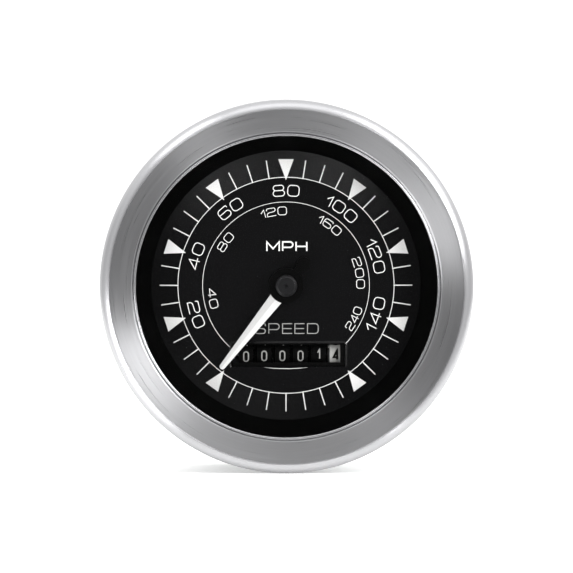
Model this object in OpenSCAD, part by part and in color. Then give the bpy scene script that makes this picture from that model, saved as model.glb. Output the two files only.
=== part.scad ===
// Cable-driven dashboard speedometer with an eddy-current movement and a
// six-drum odometer. The dial faces -Y, +Z is up, and the origin is the
// centre of the bezel's rear face, where it seats on the dashboard panel.

/* [Bezel and glass] */
// Outer diameter of the bezel
bezel_d = 92; // [90:0.5:98]
// How far the bezel stands in front of the panel
bezel_depth = 8.2; // [7.6:0.1:10]
// Thickness of the bezel's spun sheet
bezel_wall = 0.9; // [0.7:0.05:1.1]
// Width of the round outer rim
rim_w = 2.3; // [2:0.1:2.8]
// Width of the brushed band inside the rim
band_w = 5.1; // [4.4:0.1:5.6]
// Width of the groove between the band and the bead
groove_w = 0.7; // [0.5:0.1:1]
// Width of the rolled bead that holds the glass
bead_w = 1; // [0.8:0.1:1.3]
// Thickness of the glass
lens_t = 2; // [1.5:0.1:3]
// Thickness of the rubber ring behind the glass
gasket_t = 0.8; // [0.5:0.1:1.5]
// Radial width of the rubber ring
gasket_w = 4; // [3:0.1:5]
// Radial gap between the glass edge and the bezel wall
stack_clear = 0.4; // [0.2:0.05:0.6]

/* [Reflector ring] */
// Sheet thickness of the black ring between the glass and the dial
ring_t = 0.6; // [0.4:0.1:1]
// How far the bezel's bead hides the ring's front edge
ring_cover = 0.7; // [0.4:0.1:1]
// Radial width of the sloping part of the ring
ring_slope_w = 4.35; // [3.5:0.05:4.8]

/* [Dial] */
// Depth of the dial's face behind the panel plane
dial_y = 3.5; // [3.2:0.1:5]
// Radial gap between the dial plate and the case
dial_clear = 1.35; // [0.5:0.05:2]
// Thickness of the dial plate
dial_t = 0.6; // [0.4:0.1:1]
// Radius where the flat middle ends and the sloping scale ring starts
scale_r0 = 26.6; // [25:0.1:28]
// How far the scale ring falls back towards its edge
scale_drop = 0.8; // [0:0.1:1]
// Width of the odometer window
window_w = 28.1; // [27.4:0.1:30]
// Height of the odometer window
window_h = 5.8; // [5:0.1:6.4]
// How far the window lies to the right of the dial's centre
window_x = 0.57; // [0:0.01:1]
// Radius of the circle on which the dial's feet stand
foot_ring_r = 28; // [27:0.1:29]
// Radius of a dial foot
foot_r = 1.5; // [1.2:0.1:2]

/* [Case] */
// How far the bezel stands out round the case where it passes through the panel
panel_lap = 3.55; // [3.2:0.05:4.2]
// Sheet thickness of the case
can_wall = 0.9; // [0.6:0.05:1.2]
// Depth of the case behind the panel
can_depth = 48.5; // [48:0.5:56]
// Outer corner radius at the back of the case
can_corner_r = 3; // [2:0.5:5]
// Distance between the two mounting studs
stud_spacing = 66; // [62:1:68]
// Radius of a mounting stud
stud_r = 2.4; // [2:0.1:3]
// Length of a mounting stud behind the case
stud_l = 20; // [12:1:30]
// Distance of each lamp from the case's axis
lamp_ring_r = 30; // [29:0.5:30.5]
// Radius of a lamp holder's barrel
lamp_r = 6.3; // [5.5:0.1:6.6]

/* [Frame] */
// Thickness of the cast base
base_t = 3.2; // [2.5:0.1:5]
// Radius of the cast base
base_r = 35; // [34:0.5:38]
// Distance of the frame's pillars from the axis
pillar_ring_r = 30; // [29.5:0.1:31]
// Radius of a pillar
pillar_r = 3.2; // [2.8:0.1:3.6]
// Outer radius of the cable stem, over its thread
stem_r = 7.94; // [7:0.01:9]
// Length of the cable stem behind the case
stem_l = 17; // [15:0.5:24]
// Radius of the stem's spigot where it is staked into the base
stem_seat_r = 6.2; // [5.8:0.1:6.8]
// Radius of the recess in the stem for the cable's ferrule
ferrule_r = 4.9; // [4.5:0.1:5.5]
// Depth of that recess
ferrule_depth = 5; // [4:0.5:7]
// Thickness of the movement's front plate
plate_t = 1.2; // [1:0.1:2]
// Radius of the movement's front plate
plate_r = 34; // [33.4:0.1:36]

/* [Pointer] */
// Angle of the resting pointer from the top of the dial, clockwise
pointer_rest = -141.7; // [-146:0.1:-138]
// Angle that the pointer can turn through
pointer_swing = 288; // [270:1:292]
// Length of the blade from the staff's axis to its tip
blade_l = 26.1; // [22:0.1:28]
// Width of the blade at the hub
blade_w = 3.75; // [2.5:0.05:4]
// Width of the blade at its tip
blade_tip_w = 1.4; // [0.8:0.1:1.6]
// Thickness of the blade along its edges
blade_t = 0.45; // [0.3:0.05:0.6]
// How far the blade's middle ridge stands above its edges
ridge_h = 0.35; // [0.1:0.05:0.5]
// Radius of the black hub
hub_r = 4.3; // [3.8:0.1:5]
// Radius of the cap in the middle of the hub
cap_r = 2.7; // [2:0.1:3.2]
// Distance of the counterweight from the staff's axis
weight_d = 6.9; // [6.5:0.1:8]
// Radius of the counterweight
weight_r = 1.65; // [1.3:0.05:2]
// Radius of the pointer staff
staff_r = 0.7; // [0.5:0.05:0.9]

/* [Speed cup and magnet] */
// Radius of the magnet
magnet_r = 10.5; // [9:0.1:10.8]
// Thickness of the magnet
magnet_t = 6; // [4:0.5:6.5]
// Radial air gap on each side of the speed cup
air_gap = 0.6; // [0.4:0.05:0.8]
// Wall of the aluminium speed cup
cup_wall = 0.4; // [0.3:0.05:0.6]
// Wall of the steel field ring
field_wall = 1.5; // [1:0.1:1.8]
// Outer radius of the hairspring
hairspring_r = 6; // [5:0.1:6.2]
// Thickness of the hairspring's ribbon
ribbon_t = 0.18; // [0.12:0.02:0.24]
// Number of turns in the hairspring
hairspring_turns = 5; // [4:1:7]

/* [Odometer] */
// Distance from one number drum to the next
drum_pitch = 4.48; // [4.4:0.01:4.6]
// Radius of a number drum
drum_r = 6.15; // [5.9:0.05:6.3]
// Width of a number drum's rim
drum_w = 3.5; // [3.3:0.05:3.55]
// How far the middle of the drums lies to the right of the dial's centre
drums_x = 1.37; // [1.2:0.01:1.5]
// Height of the drums' axis below the dial's centre
drums_z = 17.4; // [17:0.1:18]
// Depth of the drums' axis behind the dial's face
drums_depth = 7.7; // [7.5:0.1:8]
// Radius of the drums' shaft
drum_shaft_r = 1; // [0.8:0.05:1.2]
// Radius of the transfer pinions' shaft
pinion_shaft_r = 0.6; // [0.45:0.05:0.65]

/* [Gears] */
// Tooth size of the worms, their wheels and the spur gears, pitch diameter over teeth
gear_m = 0.5; // [0.48:0.01:0.52]
// Tooth size of the drums' gears and the transfer pinions
transfer_m = 0.525; // [0.51:0.005:0.53]
// Pitch radius of the worm on the input shaft
worm1_pitch_r = 2.75; // [2.6:0.05:3]
// Pitch radius of the worm on the cross shaft
worm2_pitch_r = 2.25; // [2.1:0.05:2.4]
// Height of the jack shaft below the dial's centre
jack_z = 19.5; // [19:0.1:20]
// Depth of the cross shaft behind the panel
cross_y = 37; // [36.6:0.1:37.2]
// Radius of the cross shaft
cross_shaft_r = 1; // [0.8:0.05:1.2]
// Radius of the jack shaft
jack_shaft_r = 0.9; // [0.7:0.05:1]
// Width of the spur gears
spur_w = 1.2; // [0.8:0.1:1.3]
// Width of the worm wheels
wheel_w = 2; // [1.6:0.1:2.4]

/* [Fits] */
// Radial clearance of a shaft that turns in a bearing
running_fit = 0.05; // [0.03:0.01:0.08]
// Radial clearance of a piece that is pressed or screwed into its hole
seat_fit = 0.02; // [0.01:0.01:0.03]

/* [Hidden] */
$fn = 64;
eps = 0.01;

bezel_r = bezel_d / 2;
rim_step = 0.15;
rim_r = rim_w - rim_step;
band_r1 = bezel_r - rim_w;
band_r0 = band_r1 - band_w;
bead_r0 = band_r0 - groove_w - bead_w;
stack_r = bezel_r - bezel_wall - stack_clear;

// Depths of the stack that the bezel clamps, from the panel plane forward
flange_y = -bezel_wall;
ring_y = flange_y - can_wall;
gasket_y = ring_y - ring_t;
lens_y = gasket_y - gasket_t;
lens_front_y = lens_y - lens_t;
bead_y = lens_front_y - bead_w / 2;
band_lift = 0.25;
band_in_y = lens_front_y - bezel_wall - band_lift;
rim_y = -bezel_depth + rim_r;
rim_lift = 3 / 8 * rim_w;
band_out_y = -bezel_depth + rim_lift;
rear_corner_r = 0.6;
register_r = bezel_r - panel_lap;
ring_top_r = bead_r0 + ring_cover;
ring_bottom_r = ring_top_r - ring_slope_w;
neck_step = 0.15;
neck_r = register_r - neck_step;
lip_clear = 0.3;
rear_lip_r = neck_r + lip_clear;

can_back_y = can_depth;
can_floor_y = can_back_y - can_wall;
base_y = can_floor_y - base_t;
stem_end_y = can_back_y + stem_l;
stem_relief = 0.5;
relief_l = 0.6;
thread_y = can_back_y + relief_l;

// The dial and what hangs behind it
dial_back_y = dial_y + dial_t;
dial_r = register_r - can_wall - dial_clear;
scale_hide = 0.2;
scale_r1 = ring_bottom_r + scale_hide;
edge_y = dial_y + scale_drop;
ring_gap = 0.15;
drum_y = dial_y + drums_depth;
drum_z = -drums_z;
window_lift = 0.17;
drum_clear = 0.45;
plate_y = drum_y + drum_r + drum_clear;
plate_back_y = plate_y + plate_t;
foot_angles = [90, 200, 340];
foot_screw_r = 0.8;
foot_screw_l = 5;

// Screws: the two larger sizes share one thread, and each head is in proportion to its shank
plain_screw_r = 1.2;
pillar_screw_l = 6;
screw_clear = 0.15;
screw_head_ratio = 1.65;
screw_head_h = 1.3;
slot_w = 0.5;
slot_depth = 0.5;
blind_gap = 1;

// The pointer's parts, from its back to its cap
pointer_gap = 1.5;
body_back_y = dial_y - pointer_gap;
body_t = 1.7;
body_front_y = body_back_y - body_t;
carrier_t = 0.6;
carrier_w = 1.8;
carrier_share = 0.6;
arm_back_y = body_back_y - 0.4;
blade_back_y = arm_back_y - carrier_t;
blade_clear = 0.1;
tail_front_y = blade_back_y - 0.5;
tail_w = 2;
weight_wall = 0.35;
weight_cover = 0.3;
weight_stand = 0.5;
cap_h = 1.7;
dimple_r = 0.45;
socket_r = 1.4;
socket_l = 0.8;
socket_clear = 0.3;
staff_front_y = body_front_y + 0.4;

// The movement along its axis
cup_gap = 1.2;
cup_front_y = plate_back_y + cup_gap;
cup_floor_t = 0.4;
cup_hub_r = 2;
cup_hub_l = 0.7;
magnet_gap = 0.9;
magnet_flat = 0.78;
magnet_y = cup_front_y + cup_floor_t + magnet_gap;
magnet_back_y = magnet_y + magnet_t;
cup_r0 = magnet_r + air_gap;
cup_r1 = cup_r0 + cup_wall;
cup_back_y = magnet_back_y + 0.5;
field_r0 = cup_r1 + air_gap;
field_r1 = field_r0 + field_wall;
field_back_y = cup_back_y + 0.5;
field_flange_t = 1;
field_flange_w = 3.2;
field_flange_r = field_r1 + field_flange_w;
field_screw_ring_r = field_r1 + 1.6;
field_screw_r = 0.9;
bush_r = 2;
bush_lip = 0.3;
pivot_r = 0.5;
pivot_l = 1.4;
pivot_play = 0.6;
pivot_gap = 0.3;
spigot_r = 1.5;
spigot_y = magnet_y - 0.5;
collet_r = 1.45;
collet_y = plate_y - 2.8;
collet_l = 1.8;
spring_y = plate_y - 2.2;
spring_w = 0.6;
spring_gap = 0.06;
spring_r0 = collet_r + spring_gap + ribbon_t / 2;
spring_end_angle = 45;
anchor_w = 1.2;
anchor_gap = 0.03;
anchor_lap = 0.4;
arm_stand = 3.7;
arm_y = plate_y - arm_stand;
arm_t = 0.7;
arm_w = 0.8;
arm_l = 8.2;
stop_ring_r = 7.4;
stop_pin_r = 0.6;
stop_pin_lap = 0.3;
stop_play = 0.05;

// Worms: one thread, so each turn moves the wheel by one tooth
gear_add = 0.9 * gear_m;
gear_ded = 1.25 * gear_m;
backlash = 0.24 * gear_m;
worm_lead = PI * gear_m;
worm_turns = 4;
worm_steps = 20;
worm_run = 0.7;
thread_sink = 0.1;
wheel1_teeth = 25;
wheel2_teeth = 20;
jack_teeth = 12;
idler_teeth = 20;
drive_teeth = 24;
wheel1_r = wheel1_teeth * gear_m / 2;
wheel2_r = wheel2_teeth * gear_m / 2;
jack_r = jack_teeth * gear_m / 2;
idler_r = idler_teeth * gear_m / 2;
drive_r = drive_teeth * gear_m / 2;
cross_x = wheel1_r + worm1_pitch_r;
jack_y = cross_y - wheel2_r - worm2_pitch_r;
jack_zc = -jack_z;
worm1_root_r = worm1_pitch_r - gear_ded;
worm2_root_r = worm2_pitch_r - gear_ded;
drive_shaft_r = worm1_root_r - 0.4;
wheel_hub_r = 2.6;

// The idler sits where its pitch circle touches those of both neighbours
drive_gap = drive_r + idler_r;
jack_gap = jack_r + idler_r;
train_dy = jack_y - drum_y;
train_dz = jack_zc - drum_z;
train_d = norm([train_dy, train_dz]);
train_along = (drive_gap ^ 2 - jack_gap ^ 2 + train_d ^ 2) / (2 * train_d);
train_off = sqrt(drive_gap ^ 2 - train_along ^ 2);
train_dir = [train_dy, train_dz] / train_d;
idler_y = drum_y + train_along * train_dir[0] + train_off * train_dir[1];
idler_z = drum_z + train_along * train_dir[1] - train_off * train_dir[0];
idler_stud_r = 0.9;
stud_head_w = 0.6;
stud_head_t = 0.6;
idler_play = 0.3;
idler_to_drive = atan2(drum_z - idler_z, drum_y - idler_y);
idler_to_jack = atan2(jack_zc - idler_z, jack_y - idler_y);

// Drums, from the tenths on the right to the ten thousands on the left
DRUMS = ["tenths", "units", "tens", "hundreds", "thousands", "ten_thousands"];
drum_gap = drum_pitch - drum_w;
transfer_teeth = 20;
pinion_teeth = 8;
transfer_r = transfer_teeth * transfer_m / 2;
pinion_r = pinion_teeth * transfer_m / 2;
transfer_add = 0.8 * transfer_m;
transfer_ded = 1.15 * transfer_m;
transfer_backlash = 0.25 * transfer_m;
pinion_z = drum_z + transfer_r + pinion_r;
side_disc_t = 0.44 * drum_gap;
locking_r = transfer_r - transfer_add - 0.35;
carry_angle = 50;
carry_root_w = 0.84;
carry_tip_w = 0.36;
pinion_w = 0.86 * drum_gap;
pinion_wall = 0.35;
pinion_hub_r = pinion_shaft_r + pinion_wall;
pinion_stack_gap = 0.2;
drum_hub_r = 2;
drum_rim_t = 0.75;
drum_web_t = 0.8;
hub_play = 0.1;
drive_gear_gap = 1.6;
drive_x0 = drums_x + 2.5 * drum_pitch + drum_w / 2 + drive_gear_gap;
drive_x1 = drive_x0 + spur_w;
cheek_t = 1;
cheek_gap = 0.5;
plate_x0 = drive_x1 + cheek_gap;
plate_x1 = plate_x0 + cheek_t;
last_drum_gap = 1.3;
cheek_x1 = drums_x - 2.5 * drum_pitch - drum_w / 2 - last_drum_gap;
cheek_x0 = cheek_x1 - cheek_t;
cheek_clear = 0.9;
cheek_front_y = dial_back_y + cheek_clear;
cheek_corner_r = 3;
cheek_drop = 6.2;
cheek_top_z = pinion_z + cheek_corner_r;
cheek_bottom_z = drum_z - cheek_drop;
cheek_foot_w = 5.9;
cheek_screw_x = 4;
cheek_screw_rise = 5.4;
cheek_screw_drop = 2.6;
cheek_screw_zs = [drum_z + cheek_screw_rise, drum_z - cheek_screw_drop];
cheek_screw_r = 1;
shaft_end = 0.5;

// Cast lugs that carry the cross shaft and the jack shaft
lug_half_w = 2.8;
lug_t = 2.5;
upper_lug_z = 5.5;
lug_drop = 8.5;
lower_lug_z = jack_zc - lug_drop;
cross_bush_r = 1.9;
jack_lug_x0 = cross_x - 2 * lug_half_w;
jack_lug_t = 2.2;
lug_sink = 0.3;

input_r = 2.6;
input_end_y = stem_end_y - ferrule_depth - 1;
socket_w = 2.7;
socket_depth = 12;
shoulder_y = cross_y + worm_turns / 2 * worm_lead + 1.3;
stem_bush_r = 4.2;
stem_bush_l = 4;
stem_bush_gap = 5.6;

case_screw_ring_r = 22;
case_screw_end_y = base_y + 0.6;
pillar_angles = [30, 150, 270];
pillar_sink = 1;
stud_flange_w = 1.8;
stud_flange_t = 1;
stem_clear = 0.3;
lamp_angles = [60, 120];
lamp_clear = 0.3;
lamp_flange_w = 1.7;
lamp_flange_t = 1.2;
lamp_taper = 0.4;
lamp_tail_l = 7;
lamp_reach = 3.4;
lamp_front_y = base_y - lamp_reach;
bulb_r = 5;
bulb_l = 13;
bulb_step = 0.6;
bulb_seat = 6;
plate_lamp_clear = 1.2;
plate_slot_clear = 0.9;

// Radius and depth turned about the instrument's axis
module turned() {
    rotate([-90, 0, 0])
        rotate_extrude($fn = 96)
            children();
}

// A plain round bar along the instrument's axis, from one depth to another
module bar_y(r, y0, y1) {
    translate([0, y0, 0])
        rotate([-90, 0, 0])
            cylinder(r = r, h = y1 - y0);
}

// A round bar across the instrument
module bar_x(r, x0, x1) {
    translate([x0, 0, 0])
        rotate([0, 90, 0])
            cylinder(r = r, h = x1 - x0);
}

// A flat outline seen from the front, from one depth to another
module seen_from_front(y0, y1) {
    translate([0, y1, 0])
        rotate([90, 0, 0])
            linear_extrude(y1 - y0)
                children();
}

// A flat outline seen from the side, its x along Y, between two places across
module seen_from_side(x0, x1) {
    translate([x0, 0, 0])
        rotate([90, 0, 90])
            linear_extrude(x1 - x0)
                children();
}

// What stands at a ring of places round the axis, angles from the right
module at_ring(r, angles) {
    for (a = angles)
        translate([r * cos(a), 0, r * sin(a)])
            children();
}

// Turned to the pointer's place, where its own +Z is the blade's direction
module at_pointer() {
    rotate([0, pointer_rest, 0])
        children();
}

function round_corner(x, y, r, a0, a1, steps = 6) =
    [for (i = [0:steps]) [x + r * cos(a0 + (a1 - a0) * i / steps),
                          y + r * sin(a0 + (a1 - a0) * i / steps)]];

// Straight-sided teeth that stand on the root circle
function gear_points(teeth, m, add, ded, play) =
    let (r = teeth * m / 2,
         half = PI * m / 4 - play / 2,
         tip = (half - add * tan(20)) / (r + add) * 180 / PI,
         root = (half + ded * tan(20)) / (r - ded) * 180 / PI)
    [for (i = [0:teeth - 1], p = [[r - ded, -root], [r + add, -tip], [r + add, tip], [r - ded, root]])
        let (a = i * 360 / teeth + p[1]) [p[0] * cos(a), p[0] * sin(a)]];

// Angle that meshes a gear with its neighbour, which lies in direction phi and is turned by a
function mesh_angle(phi, a, teeth, other_teeth) =
    phi + 180 - 180 / other_teeth + (phi - a) * teeth / other_teeth;

module gear_outline(teeth, angle) {
    rotate(angle)
        polygon(gear_points(teeth, gear_m, gear_add, gear_ded, backlash));
}

// One thread swept along a right-handed helix about Z, on a plain core
module worm(pitch_r, root_r, start_angle) {
    half = PI * gear_m / 4 - backlash / 2;
    foot = gear_ded + thread_sink;
    section = [[root_r - thread_sink, -half - foot * tan(20)],
               [pitch_r + gear_add, -half + gear_add * tan(20)],
               [pitch_r + gear_add, half - gear_add * tan(20)],
               [root_r - thread_sink, half + foot * tan(20)]];
    rings = worm_turns * worm_steps;
    points = [for (i = [0:rings], p = section)
        let (a = start_angle + i * 360 / worm_steps)
        [p[0] * cos(a), p[0] * sin(a), p[1] + (i / worm_steps - worm_turns / 2) * worm_lead]];
    sides = [for (i = [0:rings - 1], j = [0:3])
        let (a = 4 * i + j, b = 4 * i + (j + 1) % 4)
        each [[a, b + 4, a + 4], [a, b, b + 4]]];
    polyhedron(points, concat([[2, 1, 0], [3, 2, 0]], sides,
                              [for (f = [[0, 1, 2], [0, 2, 3]]) [for (k = f) 4 * rings + k]]));
}

// Spun from one sheet: a rolled bead, a groove, the brushed band, the round rim, the side
// wall, and the lip turned in behind the case's flange
module bezel() {
    profile = concat(
        round_corner(bead_r0 + bead_w / 2, bead_y, bead_w / 2, 90, 340, 12),
        [[band_r0 - groove_w / 3, band_in_y + bezel_wall / 2], [band_r0, band_in_y],
         [band_r1, band_out_y]],
        round_corner(bezel_r - rim_r, rim_y, rim_r, 270, 360, 12),
        round_corner(bezel_r - rear_corner_r, -rear_corner_r, rear_corner_r, 0, 90),
        [[rear_lip_r, 0], [rear_lip_r, flange_y], [bezel_r - bezel_wall, flange_y],
         [bezel_r - bezel_wall, rim_y + bezel_wall / 3], [band_r1, band_out_y + bezel_wall],
         [band_r0 + bezel_wall / 3, lens_front_y - band_lift], [band_r0, lens_front_y]]);
    color("silver")
        turned()
            polygon(profile);
}

module lens() {
    color("aliceblue", 0.3)
        bar_y(stack_r, lens_front_y, lens_y);
}

module lens_gasket() {
    color("dimgray")
        difference() {
            bar_y(stack_r, lens_y, gasket_y);
            bar_y(stack_r - gasket_w, lens_y - 1, gasket_y + 1);
        }
}

module reflector_ring() {
    color("#141416")
        turned()
            polygon([[stack_r, gasket_y], [ring_top_r, gasket_y],
                     [ring_bottom_r, edge_y - ring_gap], [ring_bottom_r + ring_t, edge_y - ring_gap],
                     [ring_top_r + ring_t, ring_y], [stack_r, ring_y]]);
}

module dial_plate() {
    color("#161618")
        difference() {
            union() {
                turned()
                    polygon([[0, dial_y], [scale_r0, dial_y], [scale_r1, edge_y], [dial_r, edge_y],
                             [dial_r, edge_y + dial_t], [scale_r1, edge_y + dial_t],
                             [scale_r0, dial_back_y], [0, dial_back_y]]);
                at_ring(foot_ring_r, foot_angles)
                    bar_y(foot_r, dial_back_y - dial_t / 2, plate_y);
            }
            translate([window_x - window_w / 2, dial_y - 1, drum_z + window_lift - window_h / 2])
                cube([window_w, dial_t + 2, window_h]);
            bar_y(socket_r + socket_clear, dial_y - 1, dial_back_y + 1);
            at_ring(foot_ring_r, foot_angles)
                bar_y(foot_screw_r + seat_fit, plate_y - foot_screw_l - blind_gap, plate_y + 1);
        }
}

module case_can() {
    outer = concat([[0, flange_y], [neck_r, flange_y], [register_r, 0]],
                   round_corner(register_r - can_corner_r, can_back_y - can_corner_r, can_corner_r, 0, 90),
                   [[0, can_back_y]]);
    inner_r = register_r - can_wall;
    inner_corner = can_corner_r - can_wall;
    inner = concat([[0, ring_y - 1], [inner_r, ring_y - 1]],
                   round_corner(inner_r - inner_corner, can_floor_y - inner_corner, inner_corner, 0, 90),
                   [[0, can_floor_y]]);
    color("#8d8f92")
        difference() {
            turned()
                difference() {
                    union() {
                        polygon(outer);
                        translate([0, ring_y])
                            square([stack_r, can_wall]);
                    }
                    polygon(inner);
                }
            bar_y(stem_r + stem_clear, can_floor_y - 1, can_back_y + 1);
            at_ring(lamp_ring_r, lamp_angles)
                bar_y(lamp_r + lamp_clear, can_floor_y - 1, can_back_y + 1);
            at_ring(case_screw_ring_r, pillar_angles)
                bar_y(plain_screw_r + screw_clear, can_floor_y - 1, can_back_y + 1);
        }
}

// A slotted screw along the axis, its head's seat at one depth and its end at another
module screw_y(r, seat_y, end_y) {
    head_r = screw_head_ratio * r;
    forward = seat_y < end_y;
    head_y = forward ? seat_y - screw_head_h : seat_y;
    slot_y = forward ? head_y - 1 : head_y + screw_head_h - slot_depth;
    bar_y(r, min(seat_y, end_y), max(seat_y, end_y));
    difference() {
        bar_y(head_r, head_y, head_y + screw_head_h);
        translate([-head_r - 1, slot_y, -slot_w / 2])
            cube([2 * head_r + 2, slot_depth + 1, slot_w]);
    }
}

module case_screws() {
    color("gray")
        at_ring(case_screw_ring_r, pillar_angles)
            screw_y(plain_screw_r, can_back_y, case_screw_end_y);
}

module mounting_studs() {
    color("#a9abad")
        for (x = [-stud_spacing / 2, stud_spacing / 2])
            translate([x, 0, 0]) {
                bar_y(stud_r, can_back_y, can_back_y + stud_l);
                bar_y(stud_r + stud_flange_w, can_back_y, can_back_y + stud_flange_t);
            }
}

module lamp_holders() {
    rear_y = can_back_y + lamp_tail_l;
    flange_back_y = can_back_y + lamp_flange_t;
    color("#2a2a2c")
        at_ring(lamp_ring_r, lamp_angles)
            turned()
                difference() {
                    polygon([[0, lamp_front_y], [lamp_r, lamp_front_y], [lamp_r, can_back_y],
                             [lamp_r + lamp_flange_w, can_back_y], [lamp_r + lamp_flange_w, flange_back_y],
                             [lamp_r - lamp_taper, flange_back_y], [lamp_r - 2 * lamp_taper, rear_y],
                             [0, rear_y]]);
                    translate([0, lamp_front_y - 1])
                        square([bulb_r - bulb_step + seat_fit, bulb_seat + 1]);
                }
}

module lamp_bulbs() {
    front_y = lamp_front_y - bulb_l;
    back_y = lamp_front_y + bulb_seat;
    base_end_r = bulb_r - bulb_step;
    dome = round_corner(0, front_y + bulb_r, bulb_r, -90, 0, 8);
    color("lightyellow", 0.6)
        at_ring(lamp_ring_r, lamp_angles)
            turned()
                polygon(concat(dome, [[bulb_r, lamp_front_y - bulb_step], [base_end_r, lamp_front_y],
                                      [base_end_r, back_y], [0, back_y]]));
}

// One light casting: the base with its three pillars, and the lugs that carry the gear shafts
module frame_casting() {
    color("#9c9ea0")
        difference() {
            union() {
                bar_y(base_r, base_y, can_floor_y);
                at_ring(pillar_ring_r, pillar_angles)
                    bar_y(pillar_r, plate_back_y, base_y + pillar_sink);
                for (z = [upper_lug_z, lower_lug_z])
                    translate([cross_x - lug_half_w, cross_y, z])
                        cube([2 * lug_half_w, base_y + lug_sink - cross_y, lug_t]);
                for (z = [upper_lug_z, lower_lug_z])
                    translate([cross_x, cross_y, z])
                        cylinder(r = lug_half_w, h = lug_t);
                translate([jack_lug_x0, jack_y, jack_zc - lug_half_w])
                    cube([jack_lug_t, base_y + lug_sink - jack_y, 2 * lug_half_w]);
                translate([0, jack_y, jack_zc])
                    bar_x(lug_half_w, jack_lug_x0, jack_lug_x0 + jack_lug_t);
            }
            bar_y(stem_seat_r + seat_fit, base_y - 1, can_floor_y + 1);
            at_ring(lamp_ring_r, lamp_angles)
                bar_y(lamp_r + lamp_clear, base_y - 1, can_floor_y + 1);
            at_ring(case_screw_ring_r, pillar_angles)
                bar_y(plain_screw_r + seat_fit, case_screw_end_y, can_floor_y + 1);
            at_ring(pillar_ring_r, pillar_angles)
                bar_y(plain_screw_r + seat_fit, plate_back_y - 1, plate_back_y + pillar_screw_l + blind_gap);
            translate([cross_x, cross_y, lower_lug_z - 1])
                cylinder(r = cross_bush_r + seat_fit, h = upper_lug_z - lower_lug_z + lug_t + 2);
            translate([0, jack_y, jack_zc])
                bar_x(jack_shaft_r + running_fit, jack_lug_x0 - 1, jack_lug_x0 + jack_lug_t + 1);
        }
}

// The hollow stem that the cable's nut screws on, staked into the base by its spigot
module cable_stem() {
    color("#9c9ea0")
        difference() {
            union() {
                bar_y(stem_seat_r, base_y, can_floor_y);
                bar_y(stem_r - stem_relief, can_floor_y, thread_y);
                bar_y(stem_r, thread_y, stem_end_y);
            }
            bar_y(stem_bush_r + seat_fit, base_y - 1, stem_end_y - ferrule_depth);
            bar_y(ferrule_r, stem_end_y - ferrule_depth, stem_end_y + 1);
        }
}

module front_plate() {
    slot_x0 = drive_x0 - plate_slot_clear;
    slot_x1 = plate_x1 + plate_slot_clear;
    slot_z0 = jack_zc - idler_r - 3;
    slot_z1 = drum_z + drive_r + plate_slot_clear;
    color("#b4b09c")
        difference() {
            bar_y(plate_r, plate_y, plate_back_y);
            bar_y(bush_r + seat_fit, plate_y - 1, plate_back_y + 1);
            at_ring(lamp_ring_r, lamp_angles)
                bar_y(lamp_r + plate_lamp_clear, plate_y - 1, plate_back_y + 1);
            translate([slot_x0, plate_y - 1, slot_z0])
                cube([slot_x1 - slot_x0, plate_t + 2, slot_z1 - slot_z0]);
            at_ring(pillar_ring_r, pillar_angles)
                bar_y(plain_screw_r + screw_clear, plate_y - 1, plate_back_y + 1);
            at_ring(foot_ring_r, foot_angles)
                bar_y(foot_screw_r + screw_clear, plate_y - 1, plate_back_y + 1);
            at_ring(field_screw_ring_r, [0, 120, 240])
                bar_y(field_screw_r + seat_fit, plate_y - 1, plate_back_y + 1);
            cheek_screws_at()
                bar_y(cheek_screw_r + seat_fit, plate_y - 1, plate_back_y + 1);
            stop_pins_at()
                bar_y(stop_pin_r + seat_fit, plate_y - 1, plate_back_y + 1);
        }
}

module frame_screws() {
    color("gray")
        at_ring(pillar_ring_r, pillar_angles)
            screw_y(plain_screw_r, plate_y, plate_back_y + pillar_screw_l);
}

module dial_screws() {
    color("gray")
        at_ring(foot_ring_r, foot_angles)
            screw_y(foot_screw_r, plate_back_y, plate_y - foot_screw_l);
}

module stem_bushes() {
    color("#b08d57")
        for (y = [base_y, base_y + stem_bush_l + stem_bush_gap])
            difference() {
                bar_y(stem_bush_r, y, y + stem_bush_l);
                bar_y(input_r + running_fit, y - 1, y + stem_bush_l + 1);
            }
}

module input_shaft() {
    color("#9fa2a6")
        difference() {
            union() {
                bar_y(spigot_r, spigot_y, magnet_back_y);
                bar_y(drive_shaft_r, magnet_back_y, shoulder_y);
                bar_y(input_r, shoulder_y, input_end_y);
            }
            bar_y(pivot_r + running_fit, spigot_y - 1, spigot_y + pivot_l + pivot_play);
            translate([-socket_w / 2, input_end_y - socket_depth, -socket_w / 2])
                cube([socket_w, socket_depth + 1, socket_w]);
        }
}

// Left-handed, so that the drums bring their next figures down from above
module drive_worm() {
    half_l = worm_turns / 2 * worm_lead + worm_run;
    color("#c9a24a")
        difference() {
            translate([0, cross_y, 0])
                rotate([-90, 0, 0]) {
                    mirror([0, 1, 0])
                        worm(worm1_pitch_r, worm1_root_r, 0);
                    translate([0, 0, -half_l])
                        cylinder(r = worm1_root_r, h = 2 * half_l);
                }
            bar_y(drive_shaft_r + seat_fit, cross_y - half_l - 1, cross_y + half_l + 1);
        }
}

module magnet() {
    color("#55585c")
        difference() {
            intersection() {
                bar_y(magnet_r, magnet_y, magnet_back_y);
                translate([-magnet_flat * magnet_r, magnet_y - 1, -magnet_r])
                    cube([2 * magnet_flat * magnet_r, magnet_t + 2, 2 * magnet_r]);
            }
            bar_y(spigot_r + seat_fit, magnet_y - 1, magnet_back_y + 1);
        }
}

module field_ring() {
    color("#7f8286")
        difference() {
            union() {
                bar_y(field_r1, plate_back_y, field_back_y);
                bar_y(field_flange_r, plate_back_y, plate_back_y + field_flange_t);
            }
            bar_y(field_r0, plate_back_y - 1, field_back_y + 1);
            at_ring(field_screw_ring_r, [0, 120, 240])
                bar_y(field_screw_r + screw_clear, plate_back_y - 1, plate_back_y + field_flange_t + 1);
        }
}

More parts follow.
